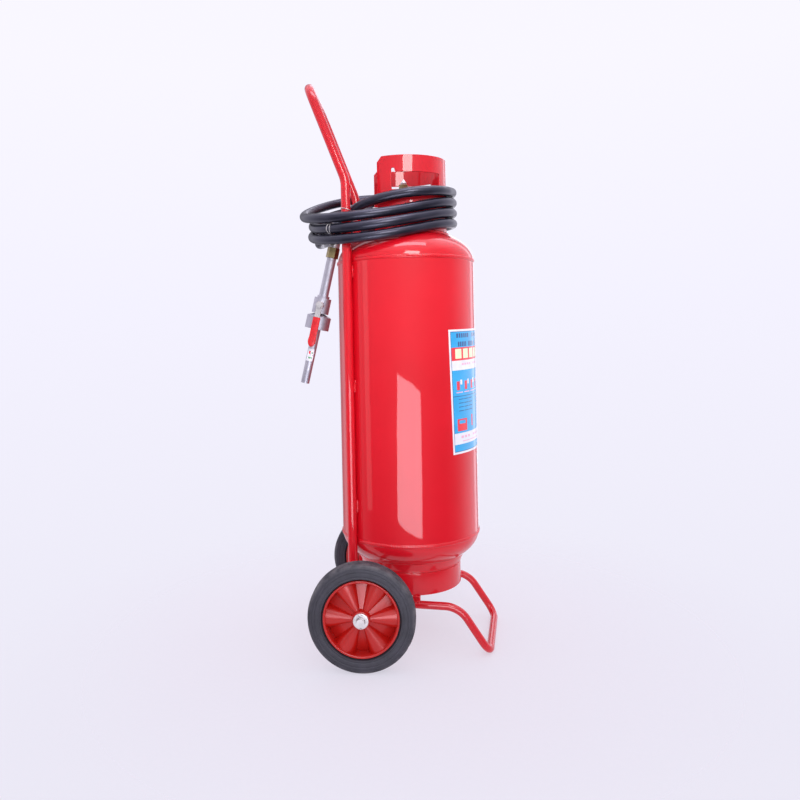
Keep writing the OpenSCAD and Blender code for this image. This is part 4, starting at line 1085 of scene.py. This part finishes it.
# %% Walls: where each is, from 0 to 1 round the room, and its share. A ramp holds no more than 1, so thirds
WALLS = ((0.0, 0.9), (0.09, 0.9), (0.12, 1.15), (0.26, 1.15), (0.31, 0.85), (0.5, 0.85), (0.72, 0.7),
         (0.78, 1.2), (0.86, 1.5), (0.88, 1.3), (0.893, 2.5), (0.912, 2.5), (0.924, 0.35), (1.0, 0.35))
walls = add(tree, "ValToRGB", {0: add(tree, "MapRange", {0: bearing, 1: -math.pi, 2: math.pi}).outputs[0]})
for at, share in WALLS:
    stop = walls.color_ramp.elements.new(at) if 0 < at < 1 else walls.color_ramp.elements[int(at)]
    stop.color = (share / 3, share / 3, share / 3, 1)
flagged = add(tree, "Math", {0: height.outputs[0], 1: walls.outputs[0]}, operation="MULTIPLY").outputs[0]
mirrored = add(tree, "Math", {0: flagged, 1: 3.0, 2: ceiling.outputs[0]}, operation="MULTIPLY_ADD").outputs[0]
glossy = add(tree, "LightPath").outputs["Is Glossy Ray"]
seen = add(tree, "Mix", {0: glossy, 2: room.outputs[0], 3: mirrored})
backdrop.inputs[0].default_value = light("#F4F2FF")
tree.links.new(seen.outputs[0], backdrop.inputs[1])
bpy.context.scene.view_settings.view_transform = "Standard"
print("walls:", len(walls.color_ramp.elements), "stops")

# %% Floor
FLOOR_R, SPOKES = 1.3, 64
rim = [(FLOOR_R * math.cos(2 * math.pi * k / SPOKES), FLOOR_R * math.sin(2 * math.pi * k / SPOKES), 0)
       for k in range(SPOKES)]
floor = new_piece("acrylic_floor", [(0, 0, 0), *rim], [(0, 1 + k, 1 + (k + 1) % SPOKES) for k in range(SPOKES)])
tree, shader, where, _ = two_toned(
    "backlit_acrylic", None, ("#979699", "#959497"), 8.33, (0.3, 0.7), [], pattern={"Detail": 4.0},
    Roughness=0.95, Specular_IOR_Level=0.0, Emission_Color=light("#F4F0FD"), Emission_Strength=0.61)
out = add(tree, "VectorMath", {0: where}, operation="LENGTH").outputs["Value"]
edge = add(tree, "MapRange", {0: out, 1: 0.35, 2: 1.0, 3: 1.0, 4: 0.0}, interpolation_type="SMOOTHSTEP")
tree.links.new(edge.outputs[0], shader.inputs["Alpha"])
floor.data.materials.append(FINISHES["backlit_acrylic"])
print("floor:", FLOOR_R, "m in radius")


# %% Soft lights
def soft_light(name, at, aim, width, height, watts, roll=0.0, reaches="mirrors", tint=(1, 1, 1), spread=180):
    """An area light seen by mirror-like surfaces only, or by matt ones only."""
    lamp = bpy.data.lights.new(name, "AREA")
    lamp.shape, lamp.size, lamp.size_y = "RECTANGLE", width, height
    lamp.energy, lamp.color, lamp.spread = watts, tint, math.radians(spread)
    made = bpy.data.objects.new(name, lamp)
    bpy.context.scene.collection.objects.link(made)
    facing = (Vector(at) - Vector(aim)).to_track_quat("Z", "Y").to_matrix().to_4x4()
    made.matrix_world = moved(*at) @ facing @ turned_by(roll, "Z")
    made.visible_camera = False
    made.visible_diffuse, made.visible_glossy = reaches != "mirrors", reaches != "matt"
    print(f"{name}: radiance {watts / (math.pi * width * height):.1f}")


BLUISH, VIOLET = (0.86, 0.91, 1.0), (0.9, 0.88, 1.0)
soft_light("front_panel", (0.052, -0.95, 0.272), (0.022, 0, 0.386), 0.62, 0.472, 5.8, roll=-5.6, tint=BLUISH)
soft_light("high_panel", (0.26, -1.02, 1.3), (0.02, 0, 1.0), 0.44, 0.34, 5.6, roll=-14)
soft_light("side_strip", (-1.9, -0.85, 0.6), (0, 0, 0.5), 0.35, 1.6, 1.3)
soft_light("overhead_strip", (0.15, -0.45, 2.3), (0.02, 0, 0.6), 1.1, 0.45, 9.5, tint=VIOLET)
soft_light("gridded_box", (0.25, -1.3, 1.2), (0, -0.1, 0.72), 0.7, 0.5, 1.1, reaches="matt", spread=55)
